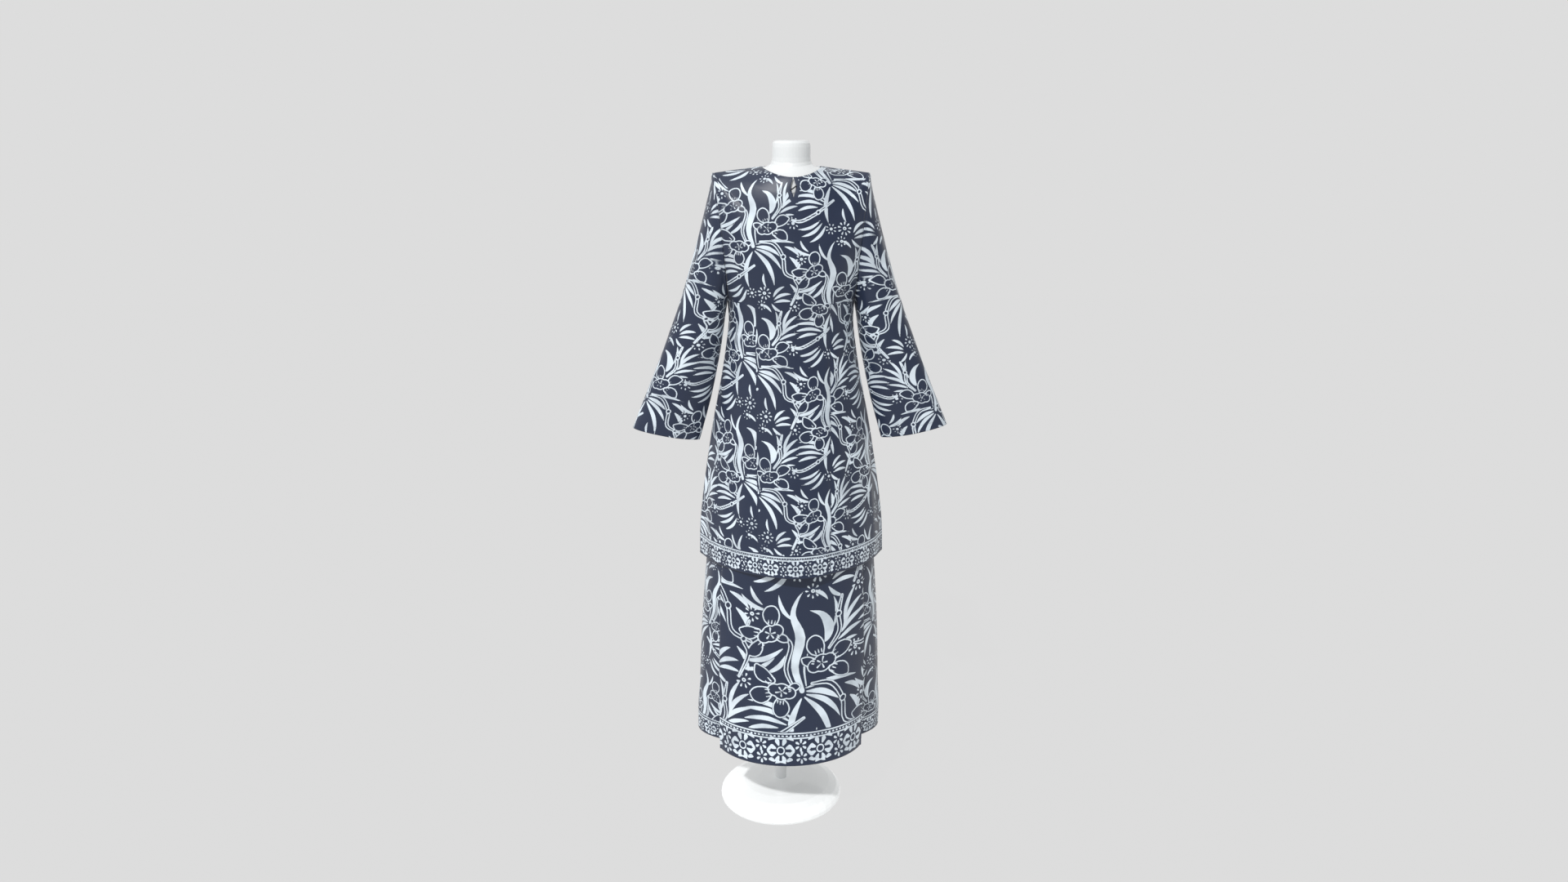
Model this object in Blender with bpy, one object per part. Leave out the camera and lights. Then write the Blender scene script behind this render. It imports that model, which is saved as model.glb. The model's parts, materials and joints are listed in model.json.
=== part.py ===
"""A baju kurung, a long tunic over a pleated skirt, worn on a limbless dress form on a rod and base.

Metres, +Z up. The origin is the centre of the base's flat underside, with the rod straight above it.
The garment faces -Y, so the wearer's right side is at -X. Each cut piece of cloth is a thin wall: its
outer points are worked out from named sections, its inner points lie one cloth thickness inside, and
sewn pieces share the direction of that step, so that they meet in a mitre with a hair's gap between.
"""
import math

import bmesh
import bpy
import numpy as np

# Driving dimensions of the whole. The form stands a little to one side of its rod, and all heights below
# start at its place.
FORM_PLACE = (0.0245, 0.0, 0.004)
CLOTH = 0.0016          # thickness of the cloth, with its pressed seam allowances
SEAM_GAP = 0.0003       # between two sewn pieces
MITRE_SHARE = 0.6       # how much of that gap is opened along the cloth, where the rest is across the mitre
SEAT_GAP = 0.00035      # between the form and the cloth that it carries
HALF_COLUMNS = 20       # faces across a front or a back
ARMHOLE_STEPS = 10      # faces along the front or the back of an armhole

# Tunic
RIDGE_X = (0.068, 0.180)        # neck point and shoulder tip
RIDGE_Z = (1.639, 1.6255)
UNDERARM_X = 0.150
UNDERARM_Z = 1.342
ARMHOLE_DEPTH = 0.062           # how far the armhole reaches forward and back of the shoulder seam
ARMHOLE_INSET = 0.006           # how far its middle is hollowed towards the neck
TIP_TURN = 70.0                 # degrees that a section turns from the centre to the shoulder tip
NECK_LIFT = 2.0                 # power that rounds the shoulder's ridge at the neck
TIP_LIFT = 1.6                  # and at the shoulder tip
ARMHOLE_TURN = 16.0             # degrees less that it turns at the middle of the armhole
TUNIC_HEM_Z = 0.704
SIDE_ROWS = 13                  # bands between the underarm and the hem
FLUTE_MARGIN = 0.10             # share of the half width beside a side seam where the flutes die out
FLUTE_GROWTH = 1.3              # power by which they grow towards the hem

# Keyhole at the front of the neck, and the thread loop across it
SLIT_HALF_WIDTHS = (0.0003, 0.0026, 0.0055, 0.0044, 0.0)
LOOP_RADIUS = 0.0007
LOOP_REACH = 0.0088
LOOP_RISE = 0.0034
LOOP_TILT = math.radians(28.0)
LOOP_SEAT = 0.0006              # between the thread's ends and the cloth
LOOP_STEPS = 10
LOOP_SIDES = 6

# Skirt
WAIST_BOTTOM_Z = 1.268
WAIST_TOP_Z = 1.300
WAISTBAND = 0.0025              # thickness of the folded and faced band
WAIST_HALF_WIDTH = 0.1268
WAIST_FRONT = 0.0893
WAIST_BACK = 0.0768
FLAP_OFF = 0.0012               # from the skirt's oval to the flap that lies on it
PANEL_OFF = 0.0051              # from the oval to the panel that lies on the flap
FLAP_PLACES = (0.15, 0.5, 0.85)     # rows of points on the flap, from its hidden fold to the pleat edge
PLEAT_SEAM = 0.012              # from the hidden fold to the seam behind the panel
PANEL_COLUMNS = 12
SIDE_COLUMNS = 5
OPEN_TURN = 450.0               # degrees that the panel turns for each metre that its edge swings forward

# Stand
ROD_RADIUS = 0.0145
BASE_DEPTH = 0.885              # depth of the oval base over its width
BASE_SIDES = 40
ROD_SIDES = 24
SHARP_ANGLE = math.radians(50.0)    # edges bent more than this are shaded sharp

NAVY = (0.021, 0.026, 0.052)
DARK_THREAD = (0.010, 0.012, 0.024)
GLOSS_WHITE = (0.86, 0.87, 0.88)
GLOSS_ROUGHNESS = 0.2
GLOSS_COAT = 0.6
CLOTH_ROUGHNESS = 0.62


def table(names, *rows):
    """One array of numbers for each named column."""
    return {name: np.array([row[i] for row in rows], float) for i, name in enumerate(names.split())}


# Rows from the neckline to the shoulder tip. front and back are depths on the centre line, each at its own
# height.
YOKE = table(
    "side_x front front_z back back_z",
    (0.068, 0.0800, 1.619, 0.0620, 1.640),
    (0.086, 0.0845, 1.611, 0.0700, 1.632),
    (0.104, 0.0885, 1.602, 0.0775, 1.621),
    (0.122, 0.0930, 1.590, 0.0840, 1.607),
    (0.141, 0.0975, 1.577, 0.0895, 1.590),
    (0.160, 0.1045, 1.548, 0.0945, 1.563),
    (0.180, 0.1110, 1.508, 0.0985, 1.526),
)
# The body from the hem up. turn is how many degrees of an ellipse the front spans from its centre to the
# side seam: 90 closes smoothly round the side, less leaves a soft corner there.
BODY = table(
    "z half_width front back turn",
    (0.704, 0.2295, 0.1800, 0.1680, 58.7),
    (0.778, 0.2268, 0.1715, 0.1600, 60.5),
    (0.855, 0.2184, 0.1620, 0.1510, 63.0),
    (0.956, 0.2035, 0.1480, 0.1390, 67.0),
    (1.056, 0.1865, 0.1340, 0.1260, 71.5),
    (1.153, 0.1669, 0.1215, 0.1120, 76.0),
    (1.225, 0.1549, 0.1140, 0.1000, 80.0),
    (1.295, 0.1470, 0.1125, 0.0915, 83.0),
    (1.342, 0.1500, 0.1185, 0.0935, 83.0),
    (1.420, 0.1560, 0.1235, 0.0980, 83.0),
    (1.508, 0.1600, 0.1110, 0.0990, 83.0),
    (1.560, 0.1600, 0.1010, 0.0950, 83.0),
)
# Soft flutes of the hanging cloth. across is the place from side seam to side seam, -1 to 1, and rise is
# outward.
FLUTES = table(
    "across width top_z rise",
    (-0.80, 0.15, 1.12, 0.0040),
    (-0.42, 0.17, 1.02, -0.0035),
    (0.06, 0.20, 0.96, 0.0030),
    (0.47, 0.16, 1.06, -0.0040),
    (0.82, 0.14, 1.16, 0.0045),
)
# A sleeve from the armhole to the cuff, seen from the front: its outer edge, its inner edge and its half
# depth.
SLEEVE = table(
    "outer_x outer_z inner_x inner_z half_depth",
    (0.1800, 1.6255, 0.1500, 1.342, 0.0620),
    (0.1870, 1.588, 0.1503, 1.337, 0.0615),
    (0.2100, 1.500, 0.1515, 1.324, 0.0600),
    (0.2360, 1.410, 0.1560, 1.297, 0.0570),
    (0.2660, 1.318, 0.1625, 1.250, 0.0530),
    (0.3020, 1.225, 0.1740, 1.186, 0.0480),
    (0.3415, 1.129, 0.1930, 1.100, 0.0415),
    (0.3820, 1.030, 0.2210, 0.999, 0.0345),
)
SLEEVE_LOOPS = 14
# How far the hanging cloth swings to the wearer's left, by height.
TUNIC_SWAY = table("z aside", (0.704, 0.0022), (1.000, 0.0008), (1.250, 0.0), (1.350, 0.0))
SKIRT_SWAY = table("z aside", (0.217, -0.0048), (0.450, -0.0022), (0.800, 0.0), (1.270, 0.0))
# Long soft folds in a sleeve. around is the angle from its outer edge, forward positive, in degrees.
SLEEVE_FOLDS = table(
    "around width start end rise",
    (62.0, 20.0, 0.18, 0.85, -0.0030),
    (104.0, 22.0, 0.30, 1.20, 0.0025),
    (-70.0, 24.0, 0.22, 0.95, -0.0030),
    (-112.0, 20.0, 0.40, 1.20, 0.0020),
)
# The skirt from the hem up. under is the depth of the oval that runs on beneath the front panel, panel the
# depth of that panel, edge_x its pleat edge, forward how far that edge swings open and turn_back the flap
# hidden behind it. round is how many degrees the back spans from its centre to the side.
SKIRT = table(
    "z half_width under panel back round edge_x forward turn_back",
    (0.217, 0.2374, 0.1080, 0.2050, 0.1900, 66.0, 0.178, 0.0400, 0.030),
    (0.280, 0.2365, 0.1215, 0.1970, 0.1860, 67.0, 0.178, 0.0290, 0.030),
    (0.342, 0.2321, 0.1375, 0.1895, 0.1810, 68.0, 0.178, 0.0165, 0.030),
    (0.420, 0.2285, 0.1510, 0.1800, 0.1750, 69.0, 0.178, 0.0060, 0.029),
    (0.500, 0.2245, 0.1560, 0.1710, 0.1690, 70.0, 0.177, 0.0010, 0.028),
    (0.580, 0.2190, 0.1550, 0.1640, 0.1620, 71.0, 0.175, 0.0000, 0.028),
    (0.668, 0.2123, 0.1500, 0.1580, 0.1550, 72.0, 0.171, 0.0000, 0.028),
    (0.760, 0.2045, 0.1430, 0.1510, 0.1480, 73.0, 0.164, 0.0000, 0.028),
    (0.855, 0.1945, 0.1340, 0.1420, 0.1380, 75.0, 0.154, 0.0000, 0.027),
    (0.956, 0.1810, 0.1240, 0.1320, 0.1260, 77.0, 0.140, 0.0000, 0.027),
    (1.056, 0.1660, 0.1130, 0.1205, 0.1130, 80.0, 0.122, 0.0000, 0.026),
    (1.153, 0.1495, 0.1020, 0.1095, 0.0990, 84.0, 0.104, 0.0000, 0.026),
    (1.225, 0.1370, 0.0945, 0.1020, 0.0865, 88.0, 0.092, 0.0000, 0.026),
    (1.2677, 0.1292, 0.0917, 0.0990, 0.0792, 90.0, 0.086, 0.0000, 0.026),
)
# The dress form from the neck down to the waist and hips.
FORM_NECK = table(
    "side_x side_z front front_z back back_z",
    (0.0330, 1.6970, 0.0350, 1.6970, 0.0350, 1.6970),
    (0.0395, 1.6955, 0.0415, 1.6955, 0.0415, 1.6955),
    (0.0430, 1.6905, 0.0455, 1.6905, 0.0455, 1.6905),
    (0.0440, 1.6820, 0.0468, 1.6820, 0.0468, 1.6820),
    (0.0440, 1.6600, 0.0470, 1.6590, 0.0470, 1.6610),
    (0.0448, 1.6520, 0.0482, 1.6480, 0.0475, 1.6550),
    (0.0475, 1.6455, 0.0520, 1.6400, 0.0490, 1.6500),
    (0.0560, 1.6400, 0.0610, 1.6310, 0.0520, 1.6450),
)
FORM_YOKE_EASE = 0.0055         # how far the form's chest and back lie inside the cloth
FORM_YOKE_DROP = 0.0040
FORM_RIDGE_FALL = 0.3           # how much sooner the form falls away from the shoulder than the cloth does
FORM_SIDE = table(
    "side_x side_z front front_z back back_z turn",
    (0.1710, 1.6195, 0.1050, 1.498, 0.0925, 1.516, 72.0),
    (0.1745, 1.6080, 0.1075, 1.485, 0.0925, 1.500, 76.0),
    (0.1740, 1.5850, 0.1105, 1.470, 0.0925, 1.480, 81.0),
    (0.1660, 1.5500, 0.1130, 1.452, 0.0920, 1.458, 86.0),
    (0.1560, 1.5050, 0.1150, 1.435, 0.0910, 1.435, 90.0),
    (0.1490, 1.4600, 0.1160, 1.412, 0.0900, 1.410, 90.0),
    (0.1440, 1.4150, 0.1150, 1.385, 0.0880, 1.383, 90.0),
    (0.1395, 1.3700, 0.1110, 1.352, 0.0850, 1.352, 90.0),
    (0.1325, 1.3330, 0.1000, 1.328, 0.0810, 1.328, 90.0),
)
FORM_HIPS = table(
    "side_z side_x front back",
    (1.225, 0.1305, 0.0895, 0.0800),
    (1.153, 0.1420, 0.0960, 0.0910),
    (1.080, 0.1520, 0.1020, 0.1010),
    (1.000, 0.1570, 0.1030, 0.1050),
    (0.930, 0.1550, 0.0995, 0.1030),
    (0.885, 0.1460, 0.0930, 0.0960),
    (0.858, 0.1260, 0.0800, 0.0820),
    (0.845, 0.0950, 0.0600, 0.0620),
    (0.842, 0.0600, 0.0400, 0.0400),
)
BASE_PROFILE = table(
    "half_width z",
    (0.1440, 0.0000),
    (0.1530, 0.0035),
    (0.1585, 0.0110),
    (0.1600, 0.0200),
    (0.1575, 0.0300),
    (0.1480, 0.0410),
    (0.1280, 0.0500),
    (0.0980, 0.0556),
    (0.0600, 0.0583),
    (0.0200, 0.0590),
)


def clear_scene():
    """An empty scene to model in."""
    for thing in list(bpy.data.objects):
        bpy.data.objects.remove(thing)


def curve(xs, ys, x):
    """The height at x of a smooth curve through the points (xs, ys), where xs rises."""
    slopes = np.gradient(ys, xs)
    i = int(np.clip(np.searchsorted(xs, x) - 1, 0, len(xs) - 2))
    width = xs[i + 1] - xs[i]
    t = (x - xs[i]) / width
    start = (1 + 2 * t) * (1 - t) ** 2 * ys[i] + t * (1 - t) ** 2 * width * slopes[i]
    return start + t * t * (3 - 2 * t) * ys[i + 1] + t * t * (t - 1) * width * slopes[i + 1]


def body_at(name, z):
    """A column of BODY at a height."""
    return float(curve(BODY["z"], BODY[name], z))


def skirt_at(name, z):
    """A column of SKIRT at a height."""
    return float(curve(SKIRT["z"], SKIRT[name], z))


def ridge_z(x):
    """Height of the shoulder seam at a distance from the centre."""
    return RIDGE_Z[0] + (x - RIDGE_X[0]) / (RIDGE_X[1] - RIDGE_X[0]) * (RIDGE_Z[1] - RIDGE_Z[0])


def section(side, depth, centre_z, turn, lift, facing, columns=HALF_COLUMNS):
    """Points from one side point through the centre to the other: part of an ellipse tipped to centre_z.

    side is (x, y, z) of the side point at +X, facing is -1 for a front and +1 for a back.
    """
    side_x, side_y, side_z = side
    limit = math.radians(turn)
    low = math.cos(limit)
    points = []
    for i in range(columns + 1):
        angle = limit * (2.0 * i / columns - 1.0)
        share = (math.cos(angle) - low) / (1.0 - low)
        share = max(share, 0.0)
        x = side_x * math.sin(angle) / math.sin(limit)
        y = side_y + (facing * depth - side_y) * share
        z = side_z + (centre_z - side_z) * share ** lift
        points.append((x, y, z))
    return np.array(points)


def armhole_point(step, facing):
    """A point of the armhole seam at +X, from the shoulder tip at step 0 down to the underarm."""
    angle = math.pi * step / ARMHOLE_STEPS
    x = 0.5 * (RIDGE_X[1] + UNDERARM_X) + 0.5 * (RIDGE_X[1] - UNDERARM_X) * math.cos(angle)
    z = 0.5 * (RIDGE_Z[1] + UNDERARM_Z) + 0.5 * (RIDGE_Z[1] - UNDERARM_Z) * math.cos(angle)
    return (x - ARMHOLE_INSET * math.sin(angle), facing * ARMHOLE_DEPTH * math.sin(angle), z)


def yoke_bend(i):
    """How a yoke row bends: the power that rounds the shoulder's ridge, and the degrees that it turns."""
    way = i / (len(YOKE["side_x"]) - 1)
    return NECK_LIFT + (TIP_LIFT - NECK_LIFT) * way, 90.0 + (TIP_TURN - 90.0) * way


def tunic_grid(facing):
    """Outer points of the tunic's front or back, row by row from the neckline to the hem."""
    side = "front" if facing < 0 else "back"
    rows = []
    for i, x in enumerate(YOKE["side_x"]):
        lift, turn = yoke_bend(i)
        rows.append(section((x, 0.0, ridge_z(x)), YOKE[side][i], YOKE[side + "_z"][i], turn, lift, facing))
    tip_centre_z = YOKE[side + "_z"][-1]
    for step in range(1, ARMHOLE_STEPS + 1):
        way = step / ARMHOLE_STEPS
        centre_z = tip_centre_z + (UNDERARM_Z - tip_centre_z) * way
        turn = TIP_TURN + (body_at("turn", UNDERARM_Z) - TIP_TURN) * way
        turn -= ARMHOLE_TURN * math.sin(math.pi * way)
        fade = (1.0 - way) ** 3
        depth = YOKE[side][-1] * fade + body_at(side, centre_z) * (1.0 - fade)
        lift = TIP_LIFT + (1.0 - TIP_LIFT) * way
        rows.append(section(armhole_point(step, facing), depth, centre_z, turn, lift, facing))
    for i in range(1, SIDE_ROWS + 1):
        z = UNDERARM_Z + (TUNIC_HEM_Z - UNDERARM_Z) * i / SIDE_ROWS
        edge = (body_at("half_width", z), 0.0, z)
        row = section(edge, body_at(side, z), z, body_at("turn", z), 1.0, facing)
        aside = float(curve(TUNIC_SWAY["z"], TUNIC_SWAY["aside"], z))
        rows.append(flute(row, z, facing) + (aside, 0.0, 0.0))
    return np.array(rows)


def flute(row, z, facing):
    """A row of hanging cloth with its soft flutes, which grow towards the hem."""
    row = row.copy()
    half = row[-1][0]
    place = row[:, 0] / half
    edge = np.clip((1.0 - np.abs(place)) / FLUTE_MARGIN, 0.0, 1.0)
    for across, width, top_z, rise in zip(*(FLUTES[name] for name in ("across", "width", "top_z", "rise"))):
        grow = max(0.0, (top_z - z) / (top_z - TUNIC_HEM_Z)) ** FLUTE_GROWTH
        swell = np.exp(-(((place - across * -facing) / width) ** 2))
        row[:, 1] += facing * rise * grow * edge * swell
    return row


def sleeve_grid():
    """Outer points of the sleeve at +X: closed loops from the armhole to the cuff.

    A loop starts at the outer edge, goes down the front to the inner edge and comes up the back.
    """
    keys = np.linspace(0.0, 1.0, len(SLEEVE["outer_x"]))
    names = ("outer_x", "outer_z", "inner_x", "inner_z", "half_depth")
    rows = []
    for i in range(SLEEVE_LOOPS + 1):
        way = i / SLEEVE_LOOPS
        sizes = [float(curve(keys, SLEEVE[name], way)) for name in names]
        outer_x, outer_z, inner_x, inner_z, depth = sizes
        loop = []
        for step in range(2 * ARMHOLE_STEPS):
            angle = math.pi * step / ARMHOLE_STEPS
            lean = math.cos(angle)
            inset = ARMHOLE_INSET * abs(math.sin(angle)) * (1.0 - way) ** 3
            x = 0.5 * (outer_x + inner_x) + 0.5 * (outer_x - inner_x) * lean - inset
            z = 0.5 * (outer_z + inner_z) + 0.5 * (outer_z - inner_z) * lean
            y = -(depth + sleeve_fold(angle, way)) * math.sin(angle)
            loop.append((x, y, z))
        rows.append(loop)
    for step in range(ARMHOLE_STEPS + 1):
        rows[0][step] = armhole_point(step, -1)
        rows[0][-step] = armhole_point(step, 1)
    return np.array(rows)


def sleeve_fold(angle, way):
    """How far the long folds move a point out, by its angle from the outer edge and its way down."""
    degrees = math.degrees(angle)
    degrees = degrees - 360.0 if degrees > 180.0 else degrees
    total = 0.0
    names = ("around", "width", "start", "end", "rise")
    for around, width, start, end, rise in zip(*(SLEEVE_FOLDS[name] for name in names)):
        along = math.sin(math.pi * min(max((way - start) / (end - start), 0.0), 1.0))
        total += rise * along * math.exp(-(((degrees - around) / width) ** 2))
    return total


def oval_point(z, x, off=0.0, forward=0.0):
    """A point of the skirt's oval at x from the centre, moved out by off and ahead by forward."""
    half, under = skirt_at("half_width", z), skirt_at("under", z)
    lean = math.asin(x / half)
    out = np.array([math.sin(lean) / half, -math.cos(lean) / under])
    out = out / np.linalg.norm(out)
    return (x + off * out[0], -under * math.cos(lean) + off * out[1] - forward, z)


def skirt_front_row(z):
    """One level of the skirt's front: seam, hidden fold, flap, pleat edge, panel, and the same again."""
    edge_x, forward = skirt_at("edge_x", z), skirt_at("forward", z)
    fold_x = edge_x - skirt_at("turn_back", z)

    def flap(way, off):
        return oval_point(z, fold_x + (edge_x - fold_x) * way, off, forward * way)

    left = [oval_point(z, fold_x + PLEAT_SEAM), oval_point(z, fold_x + 0.5 * PLEAT_SEAM)]
    left.append(flap(0.0, 0.5 * FLAP_OFF))
    left += [flap(way, FLAP_OFF) for way in FLAP_PLACES]
    left.append(flap(1.0, 0.5 * (FLAP_OFF + PANEL_OFF)))
    start_x, start_y, _ = oval_point(z, fold_x + (edge_x - fold_x) * FLAP_PLACES[-1], PANEL_OFF, forward)
    turn = math.degrees(math.asin(edge_x / skirt_at("half_width", z))) + OPEN_TURN * forward
    panel = section((start_x, start_y, z), skirt_at("panel", z), z, turn, 1.0, -1, PANEL_COLUMNS)
    right = [(-x, y, level) for x, y, level in left]
    return right + [tuple(p) for p in panel] + left[::-1]


def skirt_back_row(z):
    """One level of the skirt's sides and back, from the seam behind one pleat round to the other."""
    half = skirt_at("half_width", z)
    seam_x = skirt_at("edge_x", z) - skirt_at("turn_back", z) + PLEAT_SEAM
    start = math.asin(seam_x / half)
    angles = [start + (0.5 * math.pi - start) * i / SIDE_COLUMNS for i in range(1, SIDE_COLUMNS)]
    left = [oval_point(z, seam_x)] + [oval_point(z, half * math.sin(a)) for a in angles]
    behind = section((half, 0.0, z), skirt_at("back", z), z, skirt_at("round", z), 1.0, 1)
    right = [(-x, y, level) for x, y, level in reversed(left)]
    return left + [tuple(p) for p in behind[::-1]] + right


def skirt_levels():
    """Heights of the skirt's rows, from the waistband down."""
    return list(SKIRT["z"][::-1])


def grid_faces(rows, columns, closed=False):
    """The four-sided faces of a grid of rows x columns points, row by row."""
    last = columns if closed else columns - 1
    faces = []
    for r in range(rows - 1):
        for c in range(last):
            d = (c + 1) % columns
            faces.append((r * columns + c, (r + 1) * columns + c, (r + 1) * columns + d, r * columns + d))
    return faces


def facing_out(points, faces, out):
    """The faces, all turned round if the middle one doesn't face the way that out(point) gives."""
    face = faces[len(faces) // 2]
    a, b, c, d = (points[i] for i in face)
    normal = np.cross(c - a, d - b)
    if np.dot(normal, out((a + b + c + d) / 4)) < 0:
        return [tuple(reversed(face)) for face in faces]
    return faces


def split(points, faces):
    """The faces as triangles, each four-sided one cut along its shorter diagonal."""
    triangles = []
    for a, b, c, d in faces:
        if np.linalg.norm(points[a] - points[c]) <= np.linalg.norm(points[b] - points[d]):
            triangles += [(a, b, c), (a, c, d)]
        else:
            triangles += [(a, b, d), (b, c, d)]
    return triangles


def cut_keyhole(points, faces, columns):
    """Opens the centre line of the front's first rows into a keyhole that closes again at the neckline."""
    points = [tuple(p) for p in points]
    middle = columns // 2
    moved = {}
    for r, half in enumerate(SLIT_HALF_WIDTHS[:-1]):
        i = r * columns + middle
        x, y, z = points[i]
        points[i] = (x - half, y, z)
        moved[i] = len(points)
        points.append((x + half, y, z))
    new_faces = []
    for face in faces:
        centre_x = sum(points[i][0] for i in face) / 4
        new_faces.append(tuple(moved.get(i, i) if centre_x > 0 else i for i in face))
    return np.array(points), new_faces


def sheet(name, grid, out, closed=False, seam_columns=(), seam_rows=()):
    """A cut piece: its outer points, its faces and, for each sewn point, the ways inward and along."""
    rows, columns = grid.shape[:2]
    points = grid.reshape(-1, 3)
    faces = facing_out(points, grid_faces(rows, columns, closed), out)
    sewn = {}
    for edge, inner in seam_columns:
        for r in range(rows):
            along = grid[min(r + 1, rows - 1), edge] - grid[max(r - 1, 0), edge]
            sewn[r * columns + edge % columns] = (grid[r, inner] - grid[r, edge], along)
    for edge, inner in seam_rows:
        for c in range(columns):
            along = grid[edge, (c + 1) % columns] - grid[edge, c - 1]
            sewn[(edge % rows) * columns + c] = (grid[inner, c] - grid[edge, c], along)
    return {"name": name, "points": points, "faces": faces, "sewn": sewn, "columns": columns}


def drawn_back(inward, along, normal):
    """Half of the seam's gap, away from the mitre of two pieces and towards the inside of this one."""
    along = along / np.linalg.norm(along)
    inward = inward - np.dot(inward, along) * along
    inward = inward / np.linalg.norm(inward)
    aside = np.cross(along, normal)
    aside = aside * math.copysign(1.0 / np.linalg.norm(aside), np.dot(aside, inward))
    step = aside + MITRE_SHARE * inward
    return 0.5 * SEAM_GAP * step / np.linalg.norm(step)


def key(point):
    """A point's name, the same for two pieces that are sewn at it."""
    return tuple(int(round(v * 1e6)) for v in point)


def sewn_normals(sheets):
    """For every point of the sheets, the outward direction averaged over the pieces that meet there."""
    sums = {}
    for piece in sheets:
        for face in piece["faces"]:
            a, b, c, d = (piece["points"][i] for i in face)
            normal = np.cross(c - a, d - b)
            length = np.linalg.norm(normal)
            for i in face:
                k = key(piece["points"][i])
                sums[k] = sums.get(k, 0.0) + normal / max(length, 1e-12)
    return {k: total / max(np.linalg.norm(total), 1e-12) for k, total in sums.items()}


def wall(piece, normals, thickness=CLOTH):
    """The closed wall of a sheet: outer faces, inner faces and the rim along every free or sewn edge."""
    outer = np.array(piece["points"], float)
    inner = outer - thickness * np.array([normals[key(p)] for p in outer])
    names = [key(p) for p in outer]
    skin = split(outer, piece["faces"])
    for edge, (inward, along) in piece["sewn"].items():
        step = drawn_back(inward, along, normals[names[edge]])
        outer[edge] = outer[edge] + step
        inner[edge] = inner[edge] + step
    count = len(outer)
    faces = skin + [tuple(i + count for i in reversed(face)) for face in skin]
    edges = {}
    for face in piece["faces"]:
        for i, j in zip(face, face[1:] + face[:1]):
            edges[(i, j)] = True
    for i, j in edges:
        if (j, i) not in edges and names[i] < names[j]:
            faces += [(j, i, j + count), (i, i + count, j + count)]
        elif (j, i) not in edges:
            faces += [(j, i, i + count), (j, i + count, j + count)]
    return np.vstack([outer, inner]), faces


def material(name, colour, roughness, coat=0.0):
    """A plain finish for one piece."""
    finish = bpy.data.materials.new(name)
    finish.use_nodes = True
    shader = finish.node_tree.nodes["Principled BSDF"]
    shader.inputs["Base Color"].default_value = (*colour, 1.0)
    shader.inputs["Roughness"].default_value = roughness
    shader.inputs["Metallic"].default_value = 0.0
    shader.inputs["Coat Weight"].default_value = coat
    finish.diffuse_color = (*colour, 1.0)
    return finish


def add_object(name, points, faces, finish, parent=None):
    """A smooth-shaded object of these points and faces."""
    mesh = bpy.data.meshes.new(name)
    mesh.from_pydata([tuple(float(v) for v in p) for p in points], [], [tuple(f) for f in faces])
    mesh.materials.append(finish)
    mesh.shade_smooth()
    mesh.set_sharp_from_angle(angle=SHARP_ANGLE)
    thing = bpy.data.objects.new(name, mesh)
    bpy.context.scene.collection.objects.link(thing)
    thing.parent = parent
    return thing


def capped_stack(rings):
    """A closed body of stacked rings with a flat many-sided face at each end."""
    rings = np.array(rings)
    rows, columns = rings.shape[:2]
    points = rings.reshape(-1, 3)
    centre = points.mean(axis=0)
    faces = facing_out(points, grid_faces(rows, columns, True), lambda p: (p - centre) * (1.0, 1.0, 0.0))
    first = tuple(range(columns))
    last = tuple((rows - 1) * columns + c for c in range(columns))
    faces = split(points, faces)
    used = {(i, j) for face in faces for i, j in zip(face, face[1:] + face[:1])}
    for cap in (first, last):
        faces.append(cap if (cap[1], cap[0]) in used else tuple(reversed(cap)))
    return points, faces


def full_ring(side_x, side_z, front, front_z, back, back_z, lift, turn=90.0):
    """A closed ring of the dress form: a front and a back section joined at the sides."""
    side = (side_x, 0.0, side_z)
    ahead = section(side, front, front_z, turn, lift, -1)
    behind = section(side, back, back_z, turn, lift, 1)
    return list(ahead) + list(behind[::-1][1:-1])


def form_rings():
    """The dress form's rings, from the flat top of its neck to the flat underside of its hips."""
    rings = []
    names = ("side_x", "side_z", "front", "front_z", "back", "back_z")
    for row in zip(*(FORM_NECK[name] for name in names)):
        rings.append(full_ring(*row, 2.0))
    drop = CLOTH / math.cos(math.atan2(RIDGE_Z[0] - RIDGE_Z[1], RIDGE_X[1] - RIDGE_X[0])) + SEAT_GAP
    for i, x in enumerate(YOKE["side_x"][:-1]):
        front, back = YOKE["front"][i] - FORM_YOKE_EASE, YOKE["back"][i] - FORM_YOKE_EASE
        front_z, back_z = YOKE["front_z"][i] - FORM_YOKE_DROP, YOKE["back_z"][i] - FORM_YOKE_DROP
        lift, turn = yoke_bend(i)
        lift -= FORM_RIDGE_FALL
        rings.append(full_ring(x, ridge_z(x) - drop, front, front_z, back, back_z, lift, turn))
    for *row, turn in zip(*(FORM_SIDE[name] for name in names + ("turn",))):
        rings.append(full_ring(*row, 1.5, turn))
    half, front, back = (size - SEAT_GAP for size in (WAIST_HALF_WIDTH, WAIST_FRONT, WAIST_BACK))
    for z in (WAIST_TOP_Z, WAIST_BOTTOM_Z):
        rings.append(full_ring(half, z, front, z, back, z, 1.0))
    for z, x, front, back in zip(*(FORM_HIPS[name] for name in ("side_z", "side_x", "front", "back"))):
        rings.append(full_ring(x, z, front, z, back, z, 1.0))
    return rings


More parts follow.
